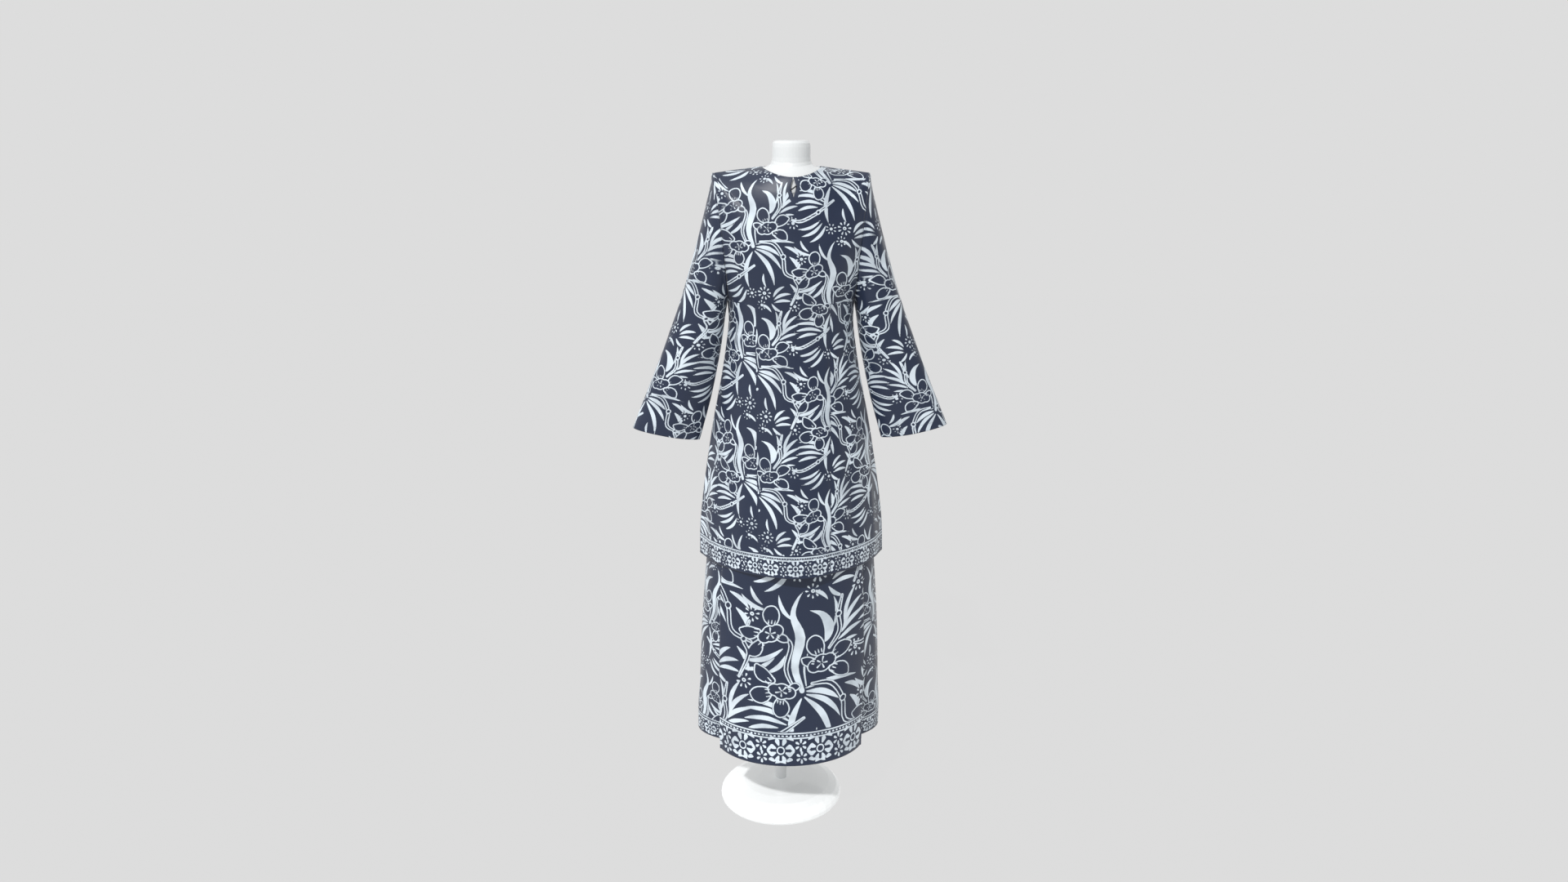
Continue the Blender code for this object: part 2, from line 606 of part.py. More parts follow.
def waistband_solid():
    """The skirt's waistband: a flat band standing round the form's waist."""
    outer, inner = [], []
    for z in (WAIST_TOP_Z, WAIST_BOTTOM_Z):
        for rings, grow in ((outer, WAISTBAND), (inner, 0.0)):
            half, front, back = (size + grow for size in (WAIST_HALF_WIDTH, WAIST_FRONT, WAIST_BACK))
            rings.append(full_ring(half, z, front, z, back, z, 1.0))
    rings = np.array([outer[0], outer[1], inner[1], inner[0]])
    columns = rings.shape[1]
    points = rings.reshape(-1, 3)
    faces = grid_faces(4, columns, True)
    for c in range(columns):
        d = (c + 1) % columns
        faces.append((3 * columns + c, c, d, 3 * columns + d))
    a, b, c, d = (points[i] for i in faces[0])
    if np.dot(np.cross(c - a, d - b), a * (1.0, 1.0, 0.0)) < 0:
        faces = [tuple(reversed(face)) for face in faces]
    return points, faces


def loop_solid(centre, lean):
    """The thread loop: a low arch of thread across the keyhole, tipped to one side.

    lean is how far the chest below it comes forward for each metre down.
    """
    steps, sides = LOOP_STEPS, LOOP_SIDES
    across = np.array([math.cos(LOOP_TILT), 0.0, math.sin(LOOP_TILT)])
    aside = np.array([-math.sin(LOOP_TILT), 0.0, math.cos(LOOP_TILT)])
    rings = []
    for i in range(steps + 1):
        way = 2.0 * i / steps - 1.0
        along = LOOP_REACH * way
        lift = LOOP_RISE * (1.0 - way * way)
        up = along * math.sin(LOOP_TILT)
        middle = np.array([along * math.cos(LOOP_TILT), lean * up - lift, up]) + centre
        slope = math.atan2(2.0 * LOOP_RISE * way, LOOP_REACH)
        normal = -math.sin(slope) * across - math.cos(slope) * np.array([0.0, 1.0, 0.0])
        ring = []
        for k in range(sides):
            angle = 2.0 * math.pi * k / sides
            ring.append(middle + LOOP_RADIUS * (math.cos(angle) * normal + math.sin(angle) * aside))
        rings.append(ring)
    points = np.array(rings).reshape(-1, 3)
    faces = grid_faces(steps + 1, sides, True)
    a, b, c, d = (points[i] for i in faces[0])
    if np.dot(np.cross(c - a, d - b), (a + b + c + d) / 4 - np.mean(points[:sides], axis=0)) < 0:
        faces = [tuple(reversed(face)) for face in faces]
    used = {(i, j) for face in faces for i, j in zip(face, face[1:] + face[:1])}
    for cap in (tuple(range(sides)), tuple(steps * sides + k for k in range(sides))):
        faces.append(cap if (cap[1], cap[0]) in used else tuple(reversed(cap)))
    return points, faces


def make_stand():
    """The base, a flattened pebble on a flat underside, and the rod that carries the form."""
    finish = material("stand_white", GLOSS_WHITE, GLOSS_ROUGHNESS, GLOSS_COAT)
    rings = []
    for half, z in zip(BASE_PROFILE["half_width"], BASE_PROFILE["z"]):
        turn = [2.0 * math.pi * k / BASE_SIDES for k in range(BASE_SIDES)]
        rings.append([(half * math.cos(a), BASE_DEPTH * half * math.sin(a), z) for a in turn])
    add_object("stand_base", *capped_stack(rings), finish)
    bottom = BASE_PROFILE["z"][-1] + SEAM_GAP
    top = FORM_PLACE[2] + FORM_HIPS["side_z"][-1] - SEAM_GAP
    mesh = bpy.data.meshes.new("stand_rod")
    bm = bmesh.new()
    bmesh.ops.create_cone(
        bm, cap_ends=True, segments=ROD_SIDES, radius1=ROD_RADIUS, radius2=ROD_RADIUS, depth=top - bottom
    )
    bm.to_mesh(mesh)
    bm.free()
    mesh.materials.append(material("rod_white", GLOSS_WHITE, GLOSS_ROUGHNESS, GLOSS_COAT))
    mesh.shade_smooth()
    mesh.set_sharp_from_angle(angle=SHARP_ANGLE)
    rod = bpy.data.objects.new("stand_rod", mesh)
    bpy.context.scene.collection.objects.link(rod)
    rod.location = (0.0, 0.0, 0.5 * (top + bottom))


def make_form(centre):
    """The dress form's limbless torso with its short neck."""
    finish = material("form_white", GLOSS_WHITE, GLOSS_ROUGHNESS, GLOSS_COAT)
    add_object("form_torso", *capped_stack(form_rings()), finish, centre)


def make_tunic(centre):
    """Front, back and two sleeves, sewn at the shoulders, armholes and sides."""
    front_grid, back_grid = tunic_grid(-1), tunic_grid(1)
    sides = ((0, 1), (-1, -2))
    front = sheet("tunic_front", front_grid, lambda p: (0.0, -1.0, 0.0), seam_columns=sides)
    front["points"], front["faces"] = cut_keyhole(front["points"], front["faces"], front["columns"])
    back = sheet("tunic_back", back_grid, lambda p: (0.0, 1.0, 0.0), seam_columns=sides)
    left_grid = sleeve_grid()
    right_grid = left_grid * (-1.0, 1.0, 1.0)
    sleeves = []
    for name, grid in (("sleeve_left", left_grid), ("sleeve_right", right_grid)):
        middle = grid.mean(axis=1)

        def out(p, middle=middle):
            nearest = middle[np.argmin(np.linalg.norm(middle - p, axis=1))]
            return p - nearest

        sleeves.append(sheet(name, grid, out, closed=True, seam_rows=((0, 1),)))
    pieces = [front, back] + sleeves
    normals = sewn_normals(pieces)
    for piece in pieces:
        finish = material(piece["name"] + "_cloth", NAVY, CLOTH_ROUGHNESS)
        add_object(piece["name"], *wall(piece, normals), finish, centre)


def make_neck_loop(centre):
    """The dark thread loop that closes the keyhole, seated on the cloth at each side of it."""
    levels, depths = YOKE["front_z"][2:4], YOKE["front"][2:4]
    lean = (depths[1] - depths[0]) / (levels[0] - levels[1])
    place = np.array([0.0, -depths.mean() - LOOP_RADIUS - LOOP_SEAT, levels.mean()])
    thread = material("loop_thread", DARK_THREAD, CLOTH_ROUGHNESS)
    add_object("neck_loop", *loop_solid(place, lean), thread, centre)


def make_skirt(centre):
    """Front panel with its pleats, sides and back in one, and the waistband."""
    levels = skirt_levels()
    sway = [(float(curve(SKIRT_SWAY["z"], SKIRT_SWAY["aside"], z)), 0.0, 0.0) for z in levels]
    front_grid = np.array([np.array(skirt_front_row(z)) + aside for z, aside in zip(levels, sway)])
    back_grid = np.array([np.array(skirt_back_row(z)) + aside for z, aside in zip(levels, sway)])
    ends = ((0, 1), (-1, -2))
    front = sheet("skirt_front", front_grid, lambda p: (0.0, -1.0, 0.0), seam_columns=ends)
    back = sheet("skirt_back", back_grid, lambda p: (0.0, 1.0, 0.0), seam_columns=ends)
    normals = sewn_normals([front, back])
    for piece in (front, back):
        finish = material(piece["name"] + "_cloth", NAVY, CLOTH_ROUGHNESS)
        add_object(piece["name"], *wall(piece, normals), finish, centre)
    band = material("waistband_cloth", NAVY, CLOTH_ROUGHNESS)
    add_object("skirt_waistband", *waistband_solid(), band, centre)


def main():
    """Models the whole part."""
    clear_scene()
    make_stand()
    centre = bpy.data.objects.new("garment_centre", None)
    centre.location = FORM_PLACE
    bpy.context.scene.collection.objects.link(centre)
    make_form(centre)
    make_skirt(centre)
    make_tunic(centre)
    make_neck_loop(centre)
    bpy.context.view_layer.update()


main()
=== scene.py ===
# %% [markdown]
# # A baju kurung on its dress form
#
# A baju kurung is a long loose tunic worn over an ankle-length skirt. This one is cut from navy cloth
# with a pale printed pattern and stands on a limbless white form. The solids that carry it are already
# made: they are loaded first, as a fixed frame, and everything below dresses them. Each cut piece gets a
# thin shell on the same form, fine enough to hold the print, the seams and the soft folds.

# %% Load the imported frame
import json
import math

import bpy
import numpy as np
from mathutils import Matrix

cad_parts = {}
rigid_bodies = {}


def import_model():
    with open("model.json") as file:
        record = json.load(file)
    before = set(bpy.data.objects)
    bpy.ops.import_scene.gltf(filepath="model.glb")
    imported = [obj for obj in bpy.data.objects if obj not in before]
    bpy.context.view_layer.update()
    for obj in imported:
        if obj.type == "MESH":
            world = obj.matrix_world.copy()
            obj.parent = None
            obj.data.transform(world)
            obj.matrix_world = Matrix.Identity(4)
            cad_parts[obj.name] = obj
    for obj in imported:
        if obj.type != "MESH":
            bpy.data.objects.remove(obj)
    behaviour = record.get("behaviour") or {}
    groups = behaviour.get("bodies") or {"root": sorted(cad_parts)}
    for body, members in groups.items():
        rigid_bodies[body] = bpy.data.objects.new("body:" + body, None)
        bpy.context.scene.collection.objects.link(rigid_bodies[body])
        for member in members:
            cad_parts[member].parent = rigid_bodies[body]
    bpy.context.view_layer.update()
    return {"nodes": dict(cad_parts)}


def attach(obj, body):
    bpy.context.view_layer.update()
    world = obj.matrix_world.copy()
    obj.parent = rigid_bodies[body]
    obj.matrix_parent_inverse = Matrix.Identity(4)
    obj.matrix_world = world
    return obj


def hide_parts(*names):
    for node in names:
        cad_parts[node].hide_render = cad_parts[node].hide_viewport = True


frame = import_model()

print("solids in the frame:", ", ".join(sorted(frame["nodes"])))

# %% [markdown]
# ## Helpers for nodes and meshes
#
# Two jobs come up again and again: adding a shader node with its inputs filled, and making an object from
# points and faces. An input takes a number, a colour or another node's output, and one function handles
# all three, which keeps every material below short.

# %% Helpers
def fill(node, inputs):
    """Gives each named input of a node a number or a colour, or joins another node's output to it."""
    for socket, value in dict(inputs).items():
        if isinstance(value, bpy.types.NodeSocket):
            node.id_data.links.new(value, node.inputs[socket])
        else:
            node.inputs[socket].default_value = (*value, 1.0) if isinstance(value, tuple) else value


def add_node(tree, kind, inputs=(), out=0, **settings):
    """Adds a shader node with its settings and inputs, and gives one of its outputs."""
    node = tree.nodes.new("ShaderNode" + kind)
    for name, value in settings.items():
        setattr(node, name, value)
    fill(node, inputs)
    return node.outputs[out]


def ramp(tree, source, first, last, from_value, to_value, kind="SMOOTHSTEP"):
    """A value that goes from one number to another while its source goes from first to last."""
    inputs = {0: source, 1: first, 2: last, 3: from_value, 4: to_value}
    return add_node(tree, "MapRange", inputs, interpolation_type=kind)


def new_material(name):
    """The node tree and the shader of a new material."""
    made = bpy.data.materials.new(name)
    made.use_nodes = True
    return made.node_tree, made.node_tree.nodes["Principled BSDF"]


def add_object(name, data):
    """An object in the scene."""
    made = bpy.data.objects.new(name, data)
    bpy.context.scene.collection.objects.link(made)
    return made


def add_mesh(name, points, faces, *paints):
    """A smooth object made of points and faces, with its materials."""
    mesh = bpy.data.meshes.new(name)
    mesh.from_pydata(np.array(points).tolist(), [], faces)
    mesh.shade_smooth()
    for paint in paints:
        mesh.materials.append(bpy.data.materials[paint])
    return add_object(name, mesh)


# %% [markdown]
# ## Camera, light and floor
#
# The camera comes first, so that every later step can be judged through it. It stands 2.6 m away and a
# little above the shoulders' height, looking down at 16 degrees. The light is plain: a pale surround that
# is brighter on the left but looks even, and one lamp from the front left that gives the form its bright
# side and the base its cast shadow. The floor glows as the surround does, so it has no edge and takes
# almost no shadow.

# %% Camera
CAMERA_TARGET = (0.008, 0.0, 0.994)
CAMERA_AZIMUTH = math.radians(-2.7)
CAMERA_ELEVATION = math.radians(16.0)
CAMERA_DISTANCE = 2.6
CAMERA_LENS, SENSOR_WIDTH = 24.443, 36.0    # in mm
SURROUND = 0.723                # the even tone behind the object, as linear light


def make_camera():
    """The camera, turned to its target by a rotation and not by a constraint."""
    lens = bpy.data.cameras.new("camera")
    lens.sensor_width = SENSOR_WIDTH
    lens.lens = CAMERA_LENS
    camera = add_object("camera", lens)
    level = math.cos(CAMERA_ELEVATION)
    back = np.array([math.sin(CAMERA_AZIMUTH) * level, -math.cos(CAMERA_AZIMUTH) * level,
                     math.sin(CAMERA_ELEVATION)])
    camera.location = np.array(CAMERA_TARGET) + CAMERA_DISTANCE * back
    camera.rotation_euler = (0.5 * math.pi - CAMERA_ELEVATION, 0.0, CAMERA_AZIMUTH)
    bpy.context.scene.camera = camera
    return camera


camera = make_camera()
print("camera at", [round(v, 3) for v in camera.location])

# %% Light and floor
LAMP_FROM = (-0.45, -0.95, 1.25)     # the way from the garment to the lamp
LAMP_POWER = 1.9
LAMP_SPREAD = math.radians(2.5)
SURROUND_LEFT, SURROUND_RIGHT = 1.12, 0.58      # shares of SURROUND on each side
SIDE_BLEND = 0.8                     # how far to each side the surround changes
BEHIND_FROM, BEHIND_TO = 0.45, 0.72  # behind the garment it goes over to the even tone
FLOOR_HALF = 9.0
FLOOR_ALBEDO = 0.012                 # so dark that a shadow on it hardly shows beside its glow


def make_surround():
    """A surround that lights the garment more from its left than from its right, and looks even."""
    world = bpy.data.worlds.new("surround")
    world.use_nodes = True
    tree = world.node_tree
    direction = add_node(tree, "TexCoord", out="Generated")
    x, y = (add_node(tree, "SeparateXYZ", {0: direction}, axis) for axis in "XY")
    sides = ramp(tree, x, -SIDE_BLEND, SIDE_BLEND, SURROUND * SURROUND_LEFT, SURROUND * SURROUND_RIGHT)
    behind = ramp(tree, y, BEHIND_FROM, BEHIND_TO, 0.0, 1.0)
    tone = add_node(tree, "Mix", {0: behind, 2: sides, 3: SURROUND})
    seen = add_node(tree, "LightPath", out="Is Camera Ray")
    fill(tree.nodes["Background"], {"Color": add_node(tree, "Mix", {0: seen, 2: tone, 3: SURROUND})})
    bpy.context.scene.world = world


def make_lamp():
    """One soft lamp from the front left."""
    lamp = bpy.data.lights.new("lamp", "SUN")
    lamp.energy = LAMP_POWER
    lamp.angle = LAMP_SPREAD
    x, y, z = LAMP_FROM
    add_object("lamp", lamp).rotation_euler = (math.atan2(math.hypot(x, y), z), 0.0, math.atan2(x, -y))


def make_floor():
    """A plain pale floor with the surround's own tone."""
    down = LAMP_FROM[2] / math.hypot(*LAMP_FROM)
    lit = FLOOR_ALBEDO * (SURROUND + LAMP_POWER * down / math.pi)
    fill(new_material("floor_paint")[1], {
        "Base Color": (FLOOR_ALBEDO,) * 3, "Roughness": 1.0, "Specular IOR Level": 0.0,
        "Emission Color": (1.0, 1.0, 1.0), "Emission Strength": SURROUND - lit})
    corners = [(x * FLOOR_HALF, y * FLOOR_HALF, 0.0) for x, y in ((-1, -1), (1, -1), (1, 1), (-1, 1))]
    add_mesh("floor", corners, [(0, 1, 2, 3)], "floor_paint")


make_surround()
make_lamp()
make_floor()
bpy.context.scene.view_settings.view_transform = "Standard"
print("floor tone", round(SURROUND, 3))

# %% [markdown]
# ## The cut of the garment
#
# The shells have to lie on the solids, so they are worked out from the same sizes: rows of the yoke, the
# body and the skirt, and the two edges of a sleeve. A smooth curve through each column of a table gives
# as many rows as the print needs. All heights are the garment's own; its place beside the rod is added at
# the end.

# %% Sizes of the garment
GARMENT_PLACE = np.array([0.0245, 0.0, 0.004])
NECK_X, TIP_X = 0.068, 0.180
NECK_Z, TIP_Z = 1.639, 1.6255
UNDERARM_X, UNDERARM_Z = 0.150, 1.342
ARMHOLE_DEPTH = 0.062
ARMHOLE_INSET = 0.006
TIP_TURN = 70.0
NECK_LIFT, TIP_LIFT = 2.0, 1.6
ARMHOLE_TURN = 16.0
TUNIC_HEM_Z = 0.704


def table(names, *rows):
    """One array of numbers for each named column."""
    return {name: np.array([row[i] for row in rows], float) for i, name in enumerate(names.split())}


YOKE = table(
    "side_x front front_z back back_z",
    (0.068, 0.0800, 1.619, 0.0620, 1.640),
    (0.086, 0.0845, 1.611, 0.0700, 1.632),
    (0.104, 0.0885, 1.602, 0.0775, 1.621),
    (0.122, 0.0930, 1.590, 0.0840, 1.607),
    (0.141, 0.0975, 1.577, 0.0895, 1.590),
    (0.160, 0.1045, 1.548, 0.0945, 1.563),
    (0.180, 0.1110, 1.508, 0.0985, 1.526),
)
BODY = table(
    "z half_width front back turn",
    (0.704, 0.2295, 0.1800, 0.1680, 58.7),
    (0.778, 0.2268, 0.1715, 0.1600, 60.5),
    (0.855, 0.2184, 0.1620, 0.1510, 63.0),
    (0.956, 0.2035, 0.1480, 0.1390, 67.0),
    (1.056, 0.1865, 0.1340, 0.1260, 71.5),
    (1.153, 0.1669, 0.1215, 0.1120, 76.0),
    (1.225, 0.1549, 0.1140, 0.1000, 80.0),
    (1.295, 0.1470, 0.1125, 0.0915, 83.0),
    (1.342, 0.1500, 0.1185, 0.0935, 83.0),
    (1.420, 0.1560, 0.1235, 0.0980, 83.0),
    (1.508, 0.1600, 0.1110, 0.0990, 83.0),
    (1.560, 0.1600, 0.1010, 0.0950, 83.0),
)
FLUTES = table(
    "across width top_z rise",
    (-0.80, 0.15, 1.12, 0.0040),
    (-0.42, 0.17, 1.02, -0.0035),
    (0.06, 0.20, 0.96, 0.0030),
    (0.47, 0.16, 1.06, -0.0040),
    (0.82, 0.14, 1.16, 0.0045),
)
FLUTE_MARGIN, FLUTE_GROWTH = 0.10, 1.3
SLEEVE = table(
    "outer_x outer_z inner_x inner_z half_depth",
    (0.1800, 1.6255, 0.1500, 1.342, 0.0620),
    (0.1870, 1.588, 0.1503, 1.337, 0.0615),
    (0.2100, 1.500, 0.1515, 1.324, 0.0600),
    (0.2360, 1.410, 0.1560, 1.297, 0.0570),
    (0.2660, 1.318, 0.1625, 1.250, 0.0530),
    (0.3020, 1.225, 0.1740, 1.186, 0.0480),
    (0.3415, 1.129, 0.1930, 1.100, 0.0415),
    (0.3820, 1.030, 0.2210, 0.999, 0.0345),
)
SLEEVE_FOLDS = table(
    "around width start end rise",
    (62.0, 20.0, 0.18, 0.85, -0.0030),
    (104.0, 22.0, 0.30, 1.20, 0.0025),
    (-70.0, 24.0, 0.22, 0.95, -0.0030),
    (-112.0, 20.0, 0.40, 1.20, 0.0020),
)
TUNIC_SWAY = table("z aside", (0.704, 0.0022), (1.000, 0.0008), (1.250, 0.0), (1.350, 0.0))
SKIRT_SWAY = table("z aside", (0.217, -0.0048), (0.450, -0.0022), (0.800, 0.0), (1.270, 0.0))
SKIRT = table(
    "z half_width under panel back round edge_x forward turn_back",
    (0.217, 0.2374, 0.1080, 0.2050, 0.1900, 66.0, 0.178, 0.0400, 0.030),
    (0.280, 0.2365, 0.1215, 0.1970, 0.1860, 67.0, 0.178, 0.0290, 0.030),
    (0.342, 0.2321, 0.1375, 0.1895, 0.1810, 68.0, 0.178, 0.0165, 0.030),
    (0.420, 0.2285, 0.1510, 0.1800, 0.1750, 69.0, 0.178, 0.0060, 0.029),
    (0.500, 0.2245, 0.1560, 0.1710, 0.1690, 70.0, 0.177, 0.0010, 0.028),
    (0.580, 0.2190, 0.1550, 0.1640, 0.1620, 71.0, 0.175, 0.0000, 0.028),
    (0.668, 0.2123, 0.1500, 0.1580, 0.1550, 72.0, 0.171, 0.0000, 0.028),
    (0.760, 0.2045, 0.1430, 0.1510, 0.1480, 73.0, 0.164, 0.0000, 0.028),
    (0.855, 0.1945, 0.1340, 0.1420, 0.1380, 75.0, 0.154, 0.0000, 0.027),
    (0.956, 0.1810, 0.1240, 0.1320, 0.1260, 77.0, 0.140, 0.0000, 0.027),
    (1.056, 0.1660, 0.1130, 0.1205, 0.1130, 80.0, 0.122, 0.0000, 0.026),
    (1.153, 0.1495, 0.1020, 0.1095, 0.0990, 84.0, 0.104, 0.0000, 0.026),
    (1.225, 0.1370, 0.0945, 0.1020, 0.0865, 88.0, 0.092, 0.0000, 0.026),
    (1.2677, 0.1292, 0.0917, 0.0990, 0.0792, 90.0, 0.086, 0.0000, 0.026),
)


def curve(xs, ys, x):
    """The height at x, one value or many, of a smooth curve through the points (xs, ys), where xs rises."""
    slopes = np.gradient(ys, xs)
    x = np.asarray(x, float)
    i = np.clip(np.searchsorted(xs, x) - 1, 0, len(xs) - 2)
    width = xs[i + 1] - xs[i]
    t = (x - xs[i]) / width
    start = (1 + 2 * t) * (1 - t) ** 2 * ys[i] + t * (1 - t) ** 2 * width * slopes[i]
    return start + t * t * (3 - 2 * t) * ys[i + 1] + t * t * (t - 1) * width * slopes[i + 1]


def at_height(rows, name, z):
    """A column of a table at a height."""
    return float(curve(rows["z"], rows[name], z))


def section(side, depth, centre_z, turn, lift, facing, shares):
    """Points from one side point through the centre to the other: part of an ellipse tipped to centre_z."""
    side_x, side_y, side_z = side
    limit = math.radians(turn)
    low = math.cos(limit)
    share = np.maximum((np.cos(limit * shares) - low) / (1.0 - low), 0.0)
    x = side_x * np.sin(limit * shares) / math.sin(limit)
    y = side_y + (facing * depth - side_y) * share
    return np.stack([x, y, side_z + (centre_z - side_z) * share ** lift], 1)


print("tunic", round(NECK_Z - TUNIC_HEM_Z, 3), "m from neck point to hem")

# %% [markdown]
# ## Rows of the tunic, the sleeves and the skirt
#
# Each function here gives one row of points at any level, not only at the solids' own rows. The tunic's
# level runs from 0 at the neckline through the shoulder tip and the underarm to the hem. Taking rows from
# a function is simpler than subdividing a mesh: the seams stay exactly where two pieces meet.

# %% A row of the tunic
TIP_LEVEL = len(YOKE["side_x"]) - 1
UNDERARM_LEVEL = TIP_LEVEL + 10
HEM_LEVEL = UNDERARM_LEVEL + 13


def armhole_point(way, facing):
    """A point of the armhole seam at +X, from the shoulder tip at way 0 down to the underarm at way 1."""
    angle = math.pi * way
    x = 0.5 * (TIP_X + UNDERARM_X) + 0.5 * (TIP_X - UNDERARM_X) * math.cos(angle)
    z = 0.5 * (TIP_Z + UNDERARM_Z) + 0.5 * (TIP_Z - UNDERARM_Z) * math.cos(angle)
    return (x - ARMHOLE_INSET * math.sin(angle), facing * ARMHOLE_DEPTH * math.sin(angle), z)


def flute(row, z, facing):
    """A row of hanging cloth with its soft flutes, which grow towards the hem."""
    row = row.copy()
    place = row[:, 0] / row[-1, 0]
    edge = np.clip((1.0 - np.abs(place)) / FLUTE_MARGIN, 0.0, 1.0)
    for across, width, top_z, rise in zip(*FLUTES.values()):
        grow = max(0.0, (top_z - z) / (top_z - TUNIC_HEM_Z)) ** FLUTE_GROWTH
        row[:, 1] += facing * rise * grow * edge * np.exp(-(((place - across * -facing) / width) ** 2))
    return row


def tunic_row(facing, level, shares):
    """The tunic's front (facing -1) or back (+1) at a level, at shares of its width from -1 to 1."""
    side = "front" if facing < 0 else "back"
    if level <= TIP_LEVEL:
        rows = np.arange(TIP_LEVEL + 1.0)
        names = ("side_x", side, side + "_z")
        x, depth, centre_z = (float(curve(rows, YOKE[name], level)) for name in names)
        way = level / TIP_LEVEL
        ridge_z = NECK_Z + (x - NECK_X) / (TIP_X - NECK_X) * (TIP_Z - NECK_Z)
        lift, turn = NECK_LIFT + (TIP_LIFT - NECK_LIFT) * way, 90.0 + (TIP_TURN - 90.0) * way
        return section((x, 0.0, ridge_z), depth, centre_z, turn, lift, facing, shares)
    if level <= UNDERARM_LEVEL:
        way = (level - TIP_LEVEL) / (UNDERARM_LEVEL - TIP_LEVEL)
        tip_z = YOKE[side + "_z"][-1]
        centre_z = tip_z + (UNDERARM_Z - tip_z) * way
        turn = TIP_TURN + (at_height(BODY, "turn", UNDERARM_Z) - TIP_TURN) * way
        turn -= ARMHOLE_TURN * math.sin(math.pi * way)
        fade = (1.0 - way) ** 3
        depth = YOKE[side][-1] * fade + at_height(BODY, side, centre_z) * (1.0 - fade)
        lift = TIP_LIFT + (1.0 - TIP_LIFT) * way
        return section(armhole_point(way, facing), depth, centre_z, turn, lift, facing, shares)
    z = UNDERARM_Z + (TUNIC_HEM_Z - UNDERARM_Z) * (level - UNDERARM_LEVEL) / (HEM_LEVEL - UNDERARM_LEVEL)
    half, depth, turn = (at_height(BODY, name, z) for name in ("half_width", side, "turn"))
    row = section((half, 0.0, z), depth, z, turn, 1.0, facing, shares)
    return flute(row, z, facing) + (at_height(TUNIC_SWAY, "aside", z), 0.0, 0.0)


# %% A loop of the sleeve
def sleeve_row(way, shares, side):
    """One loop of a sleeve, from the armhole (way 0) to the cuff (1), from the seam round by the back."""
    keys = np.linspace(0.0, 1.0, len(SLEEVE["outer_x"]))
    names = ("outer_x", "outer_z", "inner_x", "inner_z", "half_depth")
    outer_x, outer_z, inner_x, inner_z, depth = (float(curve(keys, SLEEVE[name], way)) for name in names)
    angle = math.pi + 2.0 * math.pi * shares
    degrees = np.mod(np.degrees(angle) + 180.0, 360.0) - 180.0
    folds = np.zeros(len(shares))
    for around, width, start, end, rise in zip(*SLEEVE_FOLDS.values()):
        along = math.sin(math.pi * min(max((way - start) / (end - start), 0.0), 1.0))
        folds += rise * along * np.exp(-(((degrees - around) / width) ** 2))
    inset = ARMHOLE_INSET * np.abs(np.sin(angle)) * (1.0 - way) ** 3
    x = 0.5 * (outer_x + inner_x) + 0.5 * (outer_x - inner_x) * np.cos(angle) - inset
    z = 0.5 * (outer_z + inner_z) + 0.5 * (outer_z - inner_z) * np.cos(angle)
    return np.stack([side * x, -(depth + folds) * np.sin(angle), z], 1)


# %% Rows of the skirt
FLAP_OFF, PANEL_OFF = 0.0012, 0.0051    # how far the flap and the panel stand off the skirt's oval
PLEAT_SEAM = 0.012
FLAP_END = 0.85                 # where the flap ends and the turn of the pleat's edge starts
FLAP_COLUMNS = 10
EDGE_TURNS = np.radians((-60.0, -30.0, 0.0, 30.0, 60.0))
OPEN_TURN = 450.0               # degrees that the panel wraps further for each metre it stands forward


def skirt_at(name, z):
    """A column of SKIRT at a height."""
    return at_height(SKIRT, name, z)


def oval_point(z, x, off=0.0, forward=0.0):
    """A point of the skirt's oval at x from the centre, moved out by off and ahead by forward."""
    half, under = skirt_at("half_width", z), skirt_at("under", z)
    lean = math.asin(x / half)
    out = np.array([math.sin(lean) / half, -math.cos(lean) / under])
    out = out / np.linalg.norm(out)
    return (x + off * out[0], -under * math.cos(lean) + off * out[1] - forward, z)


def skirt_front_row(z, panel_shares):
    """The skirt's front at a height: seam, hidden fold, flap, pleat edge and panel, and the same again."""
    edge_x, forward = skirt_at("edge_x", z), skirt_at("forward", z)
    fold_x = edge_x - skirt_at("turn_back", z)
    span = edge_x - fold_x
    left = [oval_point(z, fold_x + PLEAT_SEAM), oval_point(z, fold_x + 0.5 * PLEAT_SEAM)]
    left.append(oval_point(z, fold_x, 0.5 * FLAP_OFF))
    for way in np.linspace(FLAP_END / FLAP_COLUMNS, FLAP_END, FLAP_COLUMNS):
        left.append(oval_point(z, fold_x + span * way, FLAP_OFF, forward * way))
    for turn in EDGE_TURNS:
        way = FLAP_END + (1.0 - FLAP_END) * math.cos(turn)
        off = 0.5 * (FLAP_OFF + PANEL_OFF) + 0.5 * (PANEL_OFF - FLAP_OFF) * math.sin(turn)
        left.append(oval_point(z, fold_x + span * way, off, forward * (way if turn < 0 else 1.0)))
    start_x, start_y, _ = oval_point(z, fold_x + span * FLAP_END, PANEL_OFF, forward)
    turn = math.degrees(math.asin(edge_x / skirt_at("half_width", z))) + OPEN_TURN * forward
    panel = section((start_x, start_y, z), skirt_at("panel", z), z, turn, 1.0, -1, panel_shares)
    left = np.array(left)
    sway = (at_height(SKIRT_SWAY, "aside", z), 0.0, 0.0)
    return np.vstack([left * (-1.0, 1.0, 1.0), panel, left[::-1]]) + sway


